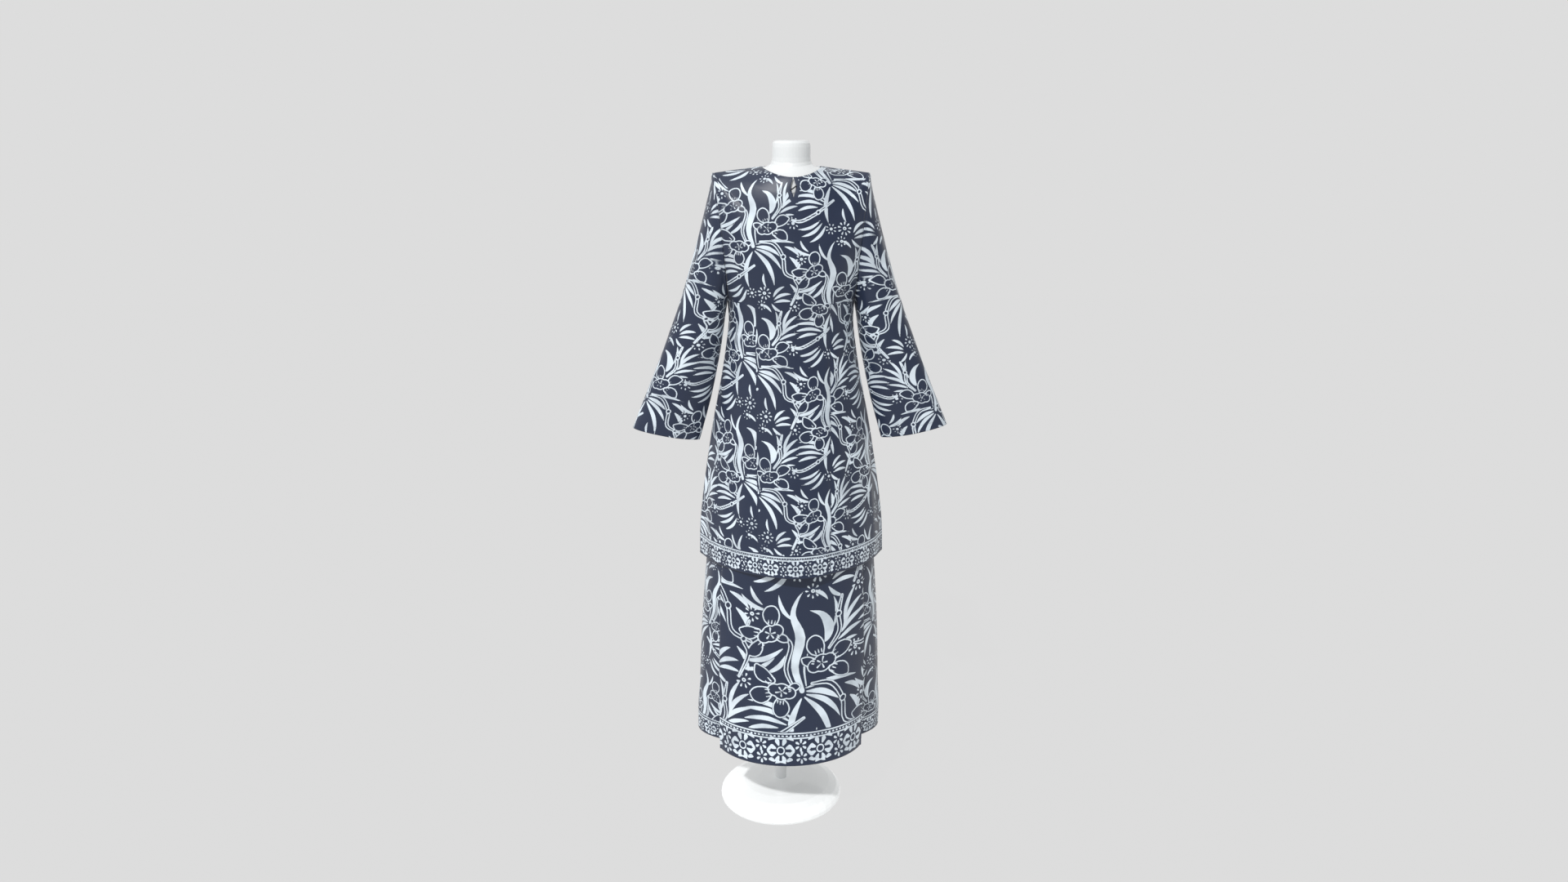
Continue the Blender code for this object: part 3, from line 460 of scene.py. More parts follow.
def skirt_back_row(z, side_columns, shares):
    """The skirt's sides and back at a height, from the seam behind one pleat round to the other."""
    half = skirt_at("half_width", z)
    start = math.asin((skirt_at("edge_x", z) - skirt_at("turn_back", z) + PLEAT_SEAM) / half)
    angles = np.linspace(start, 0.5 * math.pi, side_columns + 1)[:-1]
    side = np.array([oval_point(z, half * math.sin(a)) for a in angles])
    behind = section((half, 0.0, z), skirt_at("back", z), z, skirt_at("round", z), 1.0, 1, shares)
    sway = (at_height(SKIRT_SWAY, "aside", z), 0.0, 0.0)
    return np.vstack([side * (-1.0, 1.0, 1.0), behind, side[::-1]]) + sway


print("rows ready: neckline 0, shoulder tip", TIP_LEVEL, "underarm", UNDERARM_LEVEL, "hem", HEM_LEVEL)

# %% [markdown]
# ## The print, drawn mark by mark
#
# A batik like this is made of a few kinds of mark: solid leaf blades, hollow petals with a drawn outline,
# and thin double stems. Each mark here is one brush stroke: a smooth line with a width at each of its
# points. The distance from a point of the cloth to the edge of a stroke is easy to work out, is below
# zero inside, and stays smooth between the mesh's points. So the cloth stores that distance, and the
# material turns it into a sharp edge at any zoom. Four distances are kept, two for solid marks and two
# for outlines. Neighbouring leaves take turns between two layers, so the thin navy gap between them isn't
# lost between mesh points.

# %% Strokes
MM = 0.001                      # the print is drawn in millimetres
FAR = 50.0                      # a distance that counts as nowhere near a mark
STROKE_STEPS = 4                # straight steps between two points of a stroke
BLADE_SWELLS = np.array([0.26, 0.80, 1.0, 0.74, 0.2, 0.0])      # a leaf's width at each of its points


def smooth_line(points):
    """A rounded line through a few points, each with its half width as a third number."""
    points = np.array(points, float)
    padded = np.vstack([2 * points[0] - points[1], points, 2 * points[-1] - points[-2]])
    made = []
    for a, b, c, d in zip(padded, padded[1:], padded[2:], padded[3:]):
        for t in np.arange(STROKE_STEPS) / STROKE_STEPS:
            bend = (2 * a - 5 * b + 4 * c - d) * t * t + (3 * b - a - 3 * c + d) * t ** 3
            made.append(b + 0.5 * ((c - a) * t + bend))
    made.append(points[-1])
    made = np.array(made)
    made[:, 2] = np.maximum(made[:, 2], 0.0)
    return made


def blade(root, tip, bend, width, belly=0.45):
    """A leaf: pointed at both ends, widest at its belly, bent sideways by a share of its length."""
    root, tip = np.array(root, float), np.array(tip, float)
    side = np.array([root[1] - tip[1], tip[0] - root[0]]) * bend
    ways = np.array([0.0, 0.5 * belly, belly, 0.5 * (1 + belly), 0.93, 1.0])
    middles = [root + (tip - root) * w + side * np.sin(math.pi * w) for w in ways]
    return [(x, y, s) for (x, y), s in zip(middles, 0.5 * width * BLADE_SWELLS)]


def around(degrees, reach, start=(0.0, 0.0)):
    """The point at an angle and a distance from a start."""
    turn = math.radians(degrees)
    return (start[0] + reach * math.cos(turn), start[1] + reach * math.sin(turn))


# %% Motifs
SOLIDS = ("solid_b", "solid_a")     # neighbouring marks take turns between the two


def leaves(rows):
    """Leaf blades, each as root x and y, tip x and y, bend and width."""
    return [(SOLIDS[i % 2], blade(row[0:2], row[2:4], *row[4:])) for i, row in enumerate(rows)]


def petals_round(at, count, spin, *ends):
    """Strokes round a place, like a small flower's petals. Each end has a reach and a half width."""
    return [(SOLIDS[k % 2], [(*around(spin + 360.0 * k / count, reach, at), half) for reach, half in ends])
            for k in range(count)]


def daisy(at, radius, petals, spin):
    """A small flower: drop petals round a dotted heart."""
    marks = petals_round(at, petals, spin, (0.50 * radius, 0.05 * radius), (0.88 * radius, 0.15 * radius))
    return marks + [("hollow_a", [(*at, 0.17 * radius), (at[0] + 0.5, at[1], 0.17 * radius)])]


def orchid(at, petals, heart, spin):
    """A large flower: hollow petals, each an angle, a reach and a plumpness, round a ragged heart."""
    marks = []
    for i, (degrees, reach, plump) in enumerate(petals):
        turn = degrees + spin
        start, middle = around(turn - 5.0, 0.42 * reach, at), around(turn + 4.0, 0.74 * reach, at)
        tip = around(turn, reach, at)
        layer = "hollow_a" if i % 2 else "hollow_b"
        marks.append((layer, [(*start, 0.45 * plump), (*middle, plump), (*tip, 0.35 * plump)]))
        for way in (-16.0, 0.0, 16.0):
            inner, outer = around(turn + way, 0.42 * reach, at), around(turn + 0.8 * way, 0.56 * reach, at)
            marks.append(("heart", [(*inner, 1.3), (*outer, 0.9)]))
    ragged = []
    for k in range(7):
        way = k / 3.0 - 1.0
        along = around(spin + 12.0, heart * way, at)
        ragged.append((*along, 0.60 * heart * (1.0 - 0.60 * way * way) * (1.20 if k % 2 else 0.82)))
    marks.append(("ragged", ragged))
    for k in range(5):
        degrees, far = spin + 72.0 * k, 0.42 + 0.1 * (k % 2)
        inner, outer = around(degrees, 0.10 * heart, at), around(degrees, far * heart, at)
        marks.append(("heart", [(*inner, 0.8), (*outer, 1.6)]))
    return marks


def stem(thick, branch, points):
    """A double-lined stem with a small knob where it branches."""
    line = [(x, y, thick if 0 < i < len(points) - 1 else 0.55 * thick) for i, (x, y) in enumerate(points)]
    x, y = points[branch]
    knob = [(x, y, 1.5 * thick), (x + 1, y + 1, 1.5 * thick)]
    return [("hollow_b", line), ("hollow_a", knob)]


LEAVES_RIGHT = (
    (6, 0, 98, 4, 0.08, 7), (8, -5, 61, -26, 0.12, 9.8),
    (8, -10, 64, -56, 0.13, 9), (5, -14, 48, -94, 0.12, 10.4),
    (0, -16, -10, -100, -0.12, 10.2), (81, -26, 101, -62, 0.14, 9.2),
    (70, -3, 103, -26, 0.12, 7.6), (24, -64, 30, -96, -0.10, 6),
)
LEAVES_UP = (
    (66, 92, 88, 148, 0.10, 7.4), (64, 84, 104, 130, 0.12, 7.8),
    (58, 76, 109, 108, 0.10, 7.6), (56, 68, 104, 86, 0.08, 6.8),
    (58, 60, 94, 66, 0.08, 5.8), (48, 88, 47, 140, -0.12, 6.2),
)
LEAVES_LEFT = (
    (-14, -46, -86, -24, -0.14, 8), (-16, -51, -94, -39, -0.14, 8),
    (-22, -56, -92, -55, -0.12, 7.8), (-34, -61, -86, -71, -0.10, 7.4),
    (-28, 62, -94, 40, 0.12, 8.4), (-40, 47, -98, 24, 0.12, 7.2),
    (-22, 54, -56, 22, 0.14, 7.8),
)
LEAVES_LOW = (
    (-30, -90, -84, -108, 0.12, 7.2), (-26, -96, -76, -124, 0.12, 7.8),
    (-18, -102, -58, -138, 0.12, 7.6), (82, -86, 100, -124, 0.12, 7.8),
    (44, -116, 72, -90, 0.12, 7.2), (46, -122, 86, -108, 0.12, 7.6),
    (46, -129, 88, -126, 0.10, 7), (40, -132, 66, -150, -0.12, 6.6),
    (-52, 120, -92, 142, 0.12, 7.2), (-14, 106, -34, 146, 0.12, 6.6),
    (-58, 128, -76, 156, 0.12, 6.4), (16, 150, 40, 132, 0.12, 6.2),
)
PETALS_RIGHT = ((100, 41, 13.2), (20, 50, 10.8), (-34, 46, 11), (158, 30, 7))
PETALS_LEFT = ((160, 52, 10.2), (214, 45, 12.8), (288, 36, 12), (40, 26, 6))
PETALS_HIGH = ((64, 39, 12.2), (160, 45, 9.8), (206, 48, 9.4), (318, 26, 6))
STEMS = (                       # thickness, where it branches, and its points
    (3, 2, ((16, 6), (46, 3), (66, -26), (72, -62), (104, -74))),
    (2.6, 2, ((42, 58), (58, 82), (56, 108), (62, 136))),
    (2.6, 1, ((4, -46), (-34, -72), (-72, -90), (-94, -88))),
    (2.4, 1, ((-78, 100), (-88, 70), (-80, 48), (-96, 10))),
)
ORCHIDS = (                     # place, petals, size of the heart and spin
    ((31, 36), PETALS_RIGHT, 18.5, 6.0),
    ((-29, -4), PETALS_LEFT, 17, -24.0),
    ((-46, 84), PETALS_HIGH, 17, 20.0),
)
DAISIES = (                     # place, radius, petals and spin
    ((-88, 6), 12.5, 8, 20.0), ((88, 48), 13.5, 8, 12.0),
    ((24, -108), 15, 9, 4.0), ((16, -136), 11.5, 8, 0.0),
    ((-74, 112), 12, 8, 8.0), ((-6, 176), 12, 8, 15.0),
)


def bouquet():
    """One repeat of the print, round a hub at (0, 0), with y up the garment."""
    marks = [("solid_a", [(1, -4, 4), (-10, 34, 5.8), (-2, 78, 7.6),
                          (-13, 112, 4.4), (-7, 136, 2.4), (4, 152, 0.0)]),
             ("hollow_b", [(-10, -2, 1.2), (-23, 30, 2.4), (-16, 66, 2.6),
                           (-26, 82, 0.8)]),
             ("solid_b", [(7, 4, 1.2), (4, 32, 1.7), (11, 60, 0.6)]),
             ("solid_b", [(10, 120, 0.0), (30, 112, 4.6), (41, 94, 8),
                          (40, 78, 5.6), (34, 66, 0.0)])]
    marks += leaves(LEAVES_RIGHT) + leaves(LEAVES_UP) + leaves(LEAVES_LEFT) + leaves(LEAVES_LOW)
    for make, rows in ((stem, STEMS), (orchid, ORCHIDS), (daisy, DAISIES)):
        for row in rows:
            marks += make(*row)
    return marks


# %% The border band
BAND = 45.5                     # height of the border band at scale 1
TILE = 60.0                     # its repeat
BAND_STRETCH = 1.12             # the band is cut a little taller than its tile was drawn
HEM_PLAIN = 3.0                 # of unprinted cloth between the band and the hem
ROW_LINE = 39.5                 # the row of beads between two lines along the band's top


def border_tile():
    """One repeat of the hem's border: a rosette, small flowers and leaves, and beads between two lines."""
    middle = (0.5 * TILE, 19)
    marks = petals_round(middle, 8, 22.5, (8.8, 1.6), (14.2, 3.6))
    marks.append(("hollow_a", [(middle[0] + way, middle[1], 4.8) for way in (-0.4, 0.4)]))
    for x, y, radius in ((0.0, 26.2, 8.6), (1.5, 9, 8.2)):
        marks += petals_round((x, y), 6, 30.0, (0.40 * radius, 1.1), (0.85 * radius, 2.1))
    for k in range(10):
        marks.append(("solid_a", [(6 * k + x, ROW_LINE, 1.4) for x in (2, 3.6)]))
    for x, way in ((0.0, 1.0), (TILE, -1.0)):
        marks += leaves(((x + 11 * way, 33, x + 22 * way, 35.2, 0.2 * way, 5.2),
                         (x + 9 * way, 18, x + 15 * way, 10, 0.2 * way, 5),
                         (x + 9 * way, 19, x + 14 * way, 26.8, -0.2 * way, 4.8),
                         (x + 12 * way, 6, x + 21 * way, 2.6, 0.2 * way, 5.6),
                         (x + 22 * way, 1, x + 31 * way, 2.2, 0.2 * way, 4.4)))
    marks.append(("hollow_b", [(x, ROW_LINE, 3.4) for x in (-4, TILE + 4)]))
    return marks


# %% Distances to the print
LAYERS = ("solid_a", "solid_b", "hollow_a", "hollow_b")
DROP = (180.0, 285.0)           # the print's repeat: columns this far apart, each half a repeat lower
CLEAR = 1.2                     # dye kept away from a petal's outline
MARK_REACH = 6.0                # a mark's distance is worked out this far round it


def distance_to(line, x, y):
    """Distance from points to the edge of a stroke, below zero inside it."""
    line = smooth_line(line)
    best = np.full(len(x), FAR)
    for (ax, ay, aw), (bx, by, bw) in zip(line, line[1:]):
        dx, dy = bx - ax, by - ay
        t = np.clip(((x - ax) * dx + (y - ay) * dy) / max(dx * dx + dy * dy, 1e-12), 0.0, 1.0)
        gap = np.hypot(x - ax - t * dx, y - ay - t * dy) - (aw + (bw - aw) * t)
        best = np.minimum(best, gap)
    return best


def add_marks(fields, marks, x, y, shift):
    """Draws marks into the fields, which hold the distance to the nearest mark of each kind."""
    for layer, line in marks:
        line = np.array(line, float) + (*shift, 0.0)
        reach = line[:, 2].max() + MARK_REACH
        near = ((x > line[:, 0].min() - reach) & (x < line[:, 0].max() + reach)
                & (y > line[:, 1].min() - reach) & (y < line[:, 1].max() + reach))
        if near.any():
            fields[layer][near] = np.minimum(fields[layer][near], distance_to(line, x[near], y[near]))


def repeats(places, pitch):
    """The numbers of the repeats that can reach a set of places."""
    return range(int(math.floor(places.min() / pitch)) - 1, int(math.ceil(places.max() / pitch)) + 2)


def overlaid(fields):
    """The four layers, with the later kinds of mark kept clear of what they cover."""
    hearts, ragged = fields.pop("heart"), fields.pop("ragged")
    fields["hollow_b"] = np.maximum(fields["hollow_b"], -fields["hollow_a"])
    petals = np.minimum(np.minimum(fields["hollow_a"], fields["hollow_b"]), ragged)
    for name in ("solid_a", "solid_b"):
        fields[name] = np.maximum(fields[name], CLEAR - petals)
    for name in ("hollow_a", "hollow_b"):
        fields[name] = np.maximum(fields[name], -ragged)
    fields["hollow_a"] = np.minimum(fields["hollow_a"], ragged)
    fields["solid_a"] = np.minimum(fields["solid_a"], hearts)
    return fields


def printed(u, v, start, scale=1.0, border=True):
    """The print's distances in metres at cut coordinates u (across) and v (up), and the coordinates.

    start is where the repeat begins, one place or one for each point. A larger print keeps finer lines.
    """
    pitch = scale * MM
    x, y = (u - start[0]) / pitch, (v - start[1]) / pitch
    fields = {name: np.full(x.shape, FAR) for name in LAYERS + ("heart", "ragged")}
    marks = bouquet()
    for column in repeats(x, DROP[0]):
        offset = 0.5 * DROP[1] * (column % 2)
        for row in repeats(y, DROP[1]):
            add_marks(fields, marks, x, y, (column * DROP[0], row * DROP[1] + offset))
    fields = overlaid(fields)
    if border:
        height = (v / pitch - HEM_PLAIN) / BAND_STRETCH
        tile = {name: np.full(x.shape, FAR) for name in LAYERS}
        for shift in (-TILE, 0.0, TILE):
            add_marks(tile, border_tile(), np.mod(x, TILE), height, (shift, 0.0))
        for name in LAYERS:
            fields[name] = np.where(height < BAND, tile[name], fields[name])
    fields = {name: field * MM * math.sqrt(scale) for name, field in fields.items()}
    return dict(fields, cut_u=u, cut_v=v)


print("marks in one repeat:", len(bouquet()), "and in one border tile:", len(border_tile()))

# %% [markdown]
# ## Even meshes and cut coordinates
#
# The print has fine lines, so the shell's points lie about 2.6 mm apart. Rows that are evenly spaced
# along the cloth, and not along a height, keep that true over the shoulders. Every point also gets its
# place on the flat cloth before it was sewn: how far across from the piece's centre line, and how far up
# from its hem. The print and the weave are drawn in that flat place, so that they lie on the garment as
# woven cloth does.

# %% Spacing
GRID = 0.0026                   # between neighbouring points of a shell
INSIDE_STEP = 4                 # the inside of a shell has a point for every fourth one outside
UP = np.array([0.0, 0.0, 1.0])


def lengths(points, axis):
    """How far along its line each point of a path or a grid lies."""
    steps = np.linalg.norm(np.diff(points, axis=axis), axis=-1)
    return np.insert(np.cumsum(steps, axis=axis), 0, 0.0, axis=axis)


def even_levels(lines, first, last, spacing, probes=240):
    """Levels from first to last, even along the longest line, and a whole number of inside steps."""
    levels = np.linspace(first, last, probes)
    paths = [np.array([line(level) for level in levels]) for line in lines]
    steps = np.max([np.linalg.norm(np.diff(path, axis=0), axis=1) for path in paths], axis=0)
    length = np.concatenate([[0.0], np.cumsum(steps)])
    count = INSIDE_STEP * max(1, int(math.ceil(length[-1] / spacing / INSIDE_STEP)))
    return np.interp(np.linspace(0.0, length[-1], count + 1), length, levels)


def unit(vectors):
    """The vectors at length one."""
    return vectors / np.maximum(np.linalg.norm(vectors, axis=-1, keepdims=True), 1e-12)


def grid_normals(grid, flip):
    """Outward directions of a grid of points."""
    return unit(np.cross(np.gradient(grid, axis=1), np.gradient(grid, axis=0))) * flip


def cut_places(grid, normals, warp, straight_from):
    """Flat places (across, up) of a grid whose last row is the hem. The cloth's warp runs down along warp.

    Rows from straight_from to the hem are level, so there across is the length along the row.
    """
    down = unit(warp - np.sum(warp * normals, axis=-1, keepdims=True) * normals)
    across_way = np.cross(normals, down)
    across = lengths(grid, 1)
    across -= across[:, [grid.shape[1] // 2]]
    if np.sum(np.diff(grid, axis=1)[-1] * across_way[-1, 1:]) < 0:
        across_way = -across_way
    up = np.zeros(across.shape)
    for r in range(len(grid) - 2, -1, -1):
        step = grid[r] - grid[r + 1]
        up[r] = up[r + 1] - np.sum(step * 0.5 * (down[r] + down[r + 1]), axis=1)
        if r < straight_from:
            across[r] = across[r + 1] + np.sum(step * 0.5 * (across_way[r] + across_way[r + 1]), axis=1)
    return across, up


print("points", 1000 * GRID, "mm apart")

# %% [markdown]
# ## Creases and seams pressed into the cloth
#
# A shell as smooth as the solid would look like moulded plastic. Real cloth pulls a little along each
# seam and sags in long, shallow troughs. They are placed one by one, in the flat cloth's own metres, each
# with its own length, width and depth. Moving points along their normals by a few millimetres is enough,
# because the eye reads them from the shading.

# %% Troughs and ridges
CREASE_BLUNT = 0.6              # below one, a crease keeps its depth longer towards its ends


def pressed(across, up, rows):
    """How far out each point moves: soft troughs (below zero) and ridges along lines of the flat cloth."""
    total = np.zeros(across.shape)
    for start_x, start_y, end_x, end_y, width, rise in MM * np.array(rows):
        dx, dy = end_x - start_x, end_y - start_y
        way = ((across - start_x) * dx + (up - start_y) * dy) / (dx * dx + dy * dy)
        held = np.clip(way, 0.0, 1.0)
        off = np.hypot(across - start_x - held * dx, up - start_y - held * dy)
        fade = np.sin(math.pi * held) ** CREASE_BLUNT
        total += rise * fade * np.exp(-((off / width) ** 2))
    return total


# Each crease, in millimetres: where it starts and ends on the flat cloth, its width and its rise.
TUNIC_CREASES = (
    (-130, 330, -172, 20, 18, -2.8), (-60, 300, -46, 20, 22, 2.2),
    (20, 260, 34, 0, 20, -2), (132, 360, 168, 30, 17, -3),
    (210, 300, 250, 10, 16, 2.6), (-214, 250, -252, 10, 15, 2.4),
    (-150, 660, -60, 560, 14, -1.4), (152, 670, 70, 575, 13, -1.5),
    (-148, 700, -90, 640, 10, 1.2), (150, 710, 96, 655, 10, 1.2),
    (-155, 560, -75, 520, 12, 1.3), (158, 555, 85, 505, 12, 1.4),
    (-120, 800, -140, 690, 12, -1.6), (122, 805, 143, 690, 12, -1.7),
)
SLEEVE_CREASES = (
    (-50, 480, -20, 300, 14, -2.2), (40, 500, 15, 330, 13, -2),
    (-90, 330, -70, 60, 16, 2), (80, 360, 95, 80, 15, 2.2),
    (0, 250, 12, 20, 13, -1.6), (120, 420, 150, 300, 12, -2),
    (-130, 430, -160, 310, 12, -1.8),
)
PANEL_CREASES = (
    (-110, 420, -128, 20, 20, -1.8), (-20, 460, -34, 60, 24, 2),
    (60, 400, 78, 30, 20, -1.8), (125, 440, 140, 120, 16, 1.6),
)
SKIRT_BACK_CREASES = (
    (-360, 500, -380, 20, 18, -2.2), (-270, 460, -285, 30, 20, 2.2),
    (-170, 520, -160, 40, 24, -2.6), (-60, 470, -70, 20, 22, 2.4),
    (40, 500, 56, 30, 22, -2.4), (140, 450, 150, 50, 20, 2.2),
    (250, 520, 262, 20, 20, -2.4), (350, 480, 368, 40, 17, 2),
)
PUCKER_PITCH, PUCKER_DRIFT = 0.021, 0.137   # between puckers, and between the places where they crowd
PUCKER_REACH, PUCKER_HIGH = 0.020, 0.00030


def edge_distance(grid, edges):
    """Distance from each point to the nearest of the named edges, measured along the grid's lines."""
    from_left = lengths(grid, 1)
    ways = {"left": from_left, "right": from_left[:, [-1]] - from_left, "top": lengths(grid, 0)}
    return np.min([ways[name] for name in edges], axis=0)


def pucker(across, up, distance):
    """Small uneven puckers beside a seam, as thread draws them up."""
    drift = 1.7 * np.sin(2 * math.pi * up / PUCKER_DRIFT)
    wave = np.sin(2 * math.pi * up / PUCKER_PITCH + drift) * np.cos(9.0 * across)
    return PUCKER_HIGH * wave * np.exp(-(distance / PUCKER_REACH) ** 2)


crease_tables = (TUNIC_CREASES, SLEEVE_CREASES, PANEL_CREASES, SKIRT_BACK_CREASES)
print("creases by hand:", sum(len(rows) for rows in crease_tables))

# %% [markdown]
# ## A shell with an inside
#
# Cloth has two faces and an edge, so a shell is a closed wall. The outside carries the print and needs
# all its points. Nobody reads detail on the inside, so it keeps every fourth point, one cloth thickness
# in. Along each edge, one many-sided face joins four short outer steps to one long inner step, which
# closes the wall without a crack.

# %% Building a shell
CLOTH = 0.0012
HEM_TURN = 0.020                # the hem is turned up this far inside
HEM_EXTRA = 0.0009              # and is thicker there
HEM_STEP = 0.002                # the height over which that thickness comes in
INSIDE_MATERIAL = 1


def index_grid(rows, columns, start=0):
    """The numbers of a grid of points."""
    return start + np.arange(rows * columns).reshape(rows, columns)


def quads(index, right_index, middle):
    """Faces of a grid. Cells from the middle column on use the right-hand numbers, for a slit."""
    faces = []
    for numbers, columns in ((index, range(0, middle)), (right_index, range(middle, index.shape[1] - 1))):
        if len(columns) == 0:
            continue
        block = numbers[:, columns.start:columns.stop + 1]
        cells = np.stack([block[:-1, :-1], block[1:, :-1], block[1:, 1:], block[:-1, 1:]], axis=-1)
        faces += cells.reshape(-1, 4).tolist()
    return faces


def shell(name, grid, normals, fields, hem, slit=None):
    """A closed wall of cloth: a fine outside with its print, a coarse inside and the edges between them.

    slit gives the half width of an opening down the centre line for each of the first rows.
    """
    rows, columns = grid.shape[:2]
    middle = columns // 2
    k = INSIDE_STEP
    depth = CLOTH + HEM_EXTRA * np.clip((HEM_TURN - hem) / HEM_STEP, 0.0, 1.0)
    inner = (grid - normals * depth[..., None])[::k, ::k]
    points = np.concatenate([grid.reshape(-1, 3), inner.reshape(-1, 3)])
    outside = index_grid(rows, columns)
    inside = index_grid(inner.shape[0], inner.shape[1], grid.shape[0] * grid.shape[1])
    outside_right, inside_right = outside.copy(), inside.copy()
    values = {key: np.concatenate([field.ravel(), field[::k, ::k].ravel()])
              for key, field in fields.items()}
    if slit is not None:
        for r, half in enumerate(slit):
            for numbers, right, every in ((outside, outside_right, 1), (inside, inside_right, k)):
                if r % every == 0:
                    here = numbers[r // every, middle // every]
                    right[r // every, middle // every] = len(points)
                    points = np.vstack([points, points[here] + (half, 0.0, 0.0)])
                    points[here] -= (half, 0.0, 0.0)
                    values = {key: np.append(value, value[here]) for key, value in values.items()}
    faces = quads(outside, outside_right, middle)
    split = len(faces)
    faces += [face[::-1] for face in quads(inside, inside_right, middle // k)]

    def edge(outer_line, inner_line, turned):
        for j in range(len(inner_line) - 1):
            face = list(outer_line[j * k:j * k + k + 1]) + [inner_line[j + 1], inner_line[j]]
            faces.append([int(i) for i in (face[::-1] if turned else face)])

    half = middle // k
    edge(outside[0, :middle + 1], inside[0, :half + 1], False)
    edge(outside_right[0, middle:], inside_right[0, half:], False)
    edge(outside[-1], inside[-1], True)
    edge(outside[:, 0], inside[:, 0], True)
    edge(outside[:, -1], inside[:, -1], False)
    if slit is not None:
        deep = len(slit)
        edge(outside[:deep + 1, middle], inside[:deep // k + 1, half], False)
        edge(outside_right[:deep + 1, middle], inside_right[:deep // k + 1, half], True)
    piece = add_mesh(name + "_cloth", points + GARMENT_PLACE, faces, "printed_navy", "cloth_inside")
    mesh = piece.data
    last = faces[split - 1]
    a, b, c, d = (points[i] for i in last)
    if np.dot(np.cross(c - a, d - b), normals.reshape(-1, 3)[last[0]]) < 0:
        mesh.flip_normals()
    for key, value in values.items():
        mesh.attributes.new(key, "FLOAT", "POINT").data.foreach_set("value", value.astype(np.float32))
    kinds = np.zeros(len(faces), np.int32)
    kinds[split:split + (rows - 1) // k * ((columns - 1) // k)] = INSIDE_MATERIAL
    mesh.polygons.foreach_set("material_index", kinds)
    print(piece.name, rows, "x", columns, "points outside,", len(faces), "faces")
    return piece

# %% [markdown]
# ## The materials
#
# The printed cloth is one material. It reads the four stored distances and turns each into pale dye on
# navy: inside a solid mark, or within a line's half width of an outline. A little noise is added to the
# distance first, so that the edges waver as dye does in thread. The weave is a fine bump in the flat
# cloth's own metres, and a low sheen lifts the fabric where it turns away. Sheen and roughness stay plain
# numbers, because a later step may bake this material for other programs.

# %% Material helpers
LINE_HALF = 0.00124             # half width of a drawn outline
MARK_THIN = 0.00028             # taken off the edge of a filled mark
EDGE_SOFT = 0.00038             # over which a mark's edge fades
THREADS = 900.0                 # of the weave, in each metre
PEN_WAVER = 0.00022             # how far a mark's edge wavers


def maths(tree, operation, *values):
    """A maths node on one or two values, each a number or an output."""
    return add_node(tree, "Math", dict(enumerate(values)), operation=operation)


def noise(tree, place, scale, detail):
    """Soft unevenness over a place."""
    return add_node(tree, "TexNoise", {"Vector": place, "Scale": scale, "Detail": detail})


def mixed(tree, share, first, second):
    """A colour between two colours, each a colour or an output."""
    return add_node(tree, "Mix", {0: share, 6: first, 7: second}, 2, data_type="RGBA")


def bump(tree, height, strength, distance):
    """A bump of the surface, for the shader's normal."""
    return add_node(tree, "Bump", {"Strength": strength, "Distance": distance, "Height": height})


# %% Printed cloth
NAVY_DEEP, NAVY_WORN = (0.0080, 0.0163, 0.0450), (0.0150, 0.0275, 0.0660)
PALE_WARM, PALE_COOL = (0.815, 0.893, 0.950), (0.700, 0.808, 0.908)
PATCH_NOISE, FINE_NOISE = (26.0, 3.0), (700.0, 1.0)     # scale and detail of the dye's two unevennesses
PEN_NOISE, THIN_NOISE = (420.0, 2.0), (17.0, 2.0)       # of a mark's edge, and of where the dye is thin
PATCH_SHARE = 0.6               # how much of the unevenness is the larger one
THIN_FROM, THIN_TO = 0.36, 0.56     # the noise between the thinnest dye and the full dye
DYE_LEAST = 0.74                # how pale the print is where the dye is thinnest


def printed_cloth():
    """Navy cloth with the pale print."""
    tree, shader = new_material("printed_navy")
    u, v, *layers = (add_node(tree, "Attribute", out="Fac", attribute_name=name)
                     for name in ("cut_u", "cut_v") + LAYERS)
    place = add_node(tree, "CombineXYZ", {"X": u, "Y": v})
    waver = maths(tree, "SUBTRACT", noise(tree, place, *PEN_NOISE), 0.5)
    waver = maths(tree, "MULTIPLY", waver, 4.0 * PEN_WAVER)
    ink = None
    for name, distance in zip(LAYERS, layers):
        if name.startswith("hollow"):
            distance = maths(tree, "SUBTRACT", maths(tree, "ABSOLUTE", distance), LINE_HALF)
        else:
            distance = maths(tree, "ADD", distance, MARK_THIN)
        shown = ramp(tree, maths(tree, "ADD", distance, waver), -EDGE_SOFT, EDGE_SOFT, 1.0, 0.0)
        ink = shown if ink is None else maths(tree, "MAXIMUM", ink, shown)
    patch = maths(tree, "MULTIPLY", noise(tree, place, *PATCH_NOISE), PATCH_SHARE)
    fine = maths(tree, "MULTIPLY", noise(tree, place, *FINE_NOISE), 1.0 - PATCH_SHARE)
    tone = maths(tree, "ADD", patch, fine)
    cover = ramp(tree, noise(tree, place, *THIN_NOISE), THIN_FROM, THIN_TO, DYE_LEAST, 1.0, "LINEAR")
    ink = maths(tree, "MULTIPLY", ink, cover)
    navy, pale = mixed(tree, tone, NAVY_DEEP, NAVY_WORN), mixed(tree, tone, PALE_COOL, PALE_WARM)
    waves = [maths(tree, "SINE", maths(tree, "MULTIPLY", way, math.pi * THREADS)) for way in (u, v)]
    weave = bump(tree, maths(tree, "MULTIPLY", *waves), 0.30, 0.00012)
    fill(shader, {"Base Color": mixed(tree, ink, navy, pale), "Normal": weave, "Roughness": 0.39,
                  "Specular IOR Level": 0.50, "Sheen Weight": 0.14, "Sheen Roughness": 0.45})


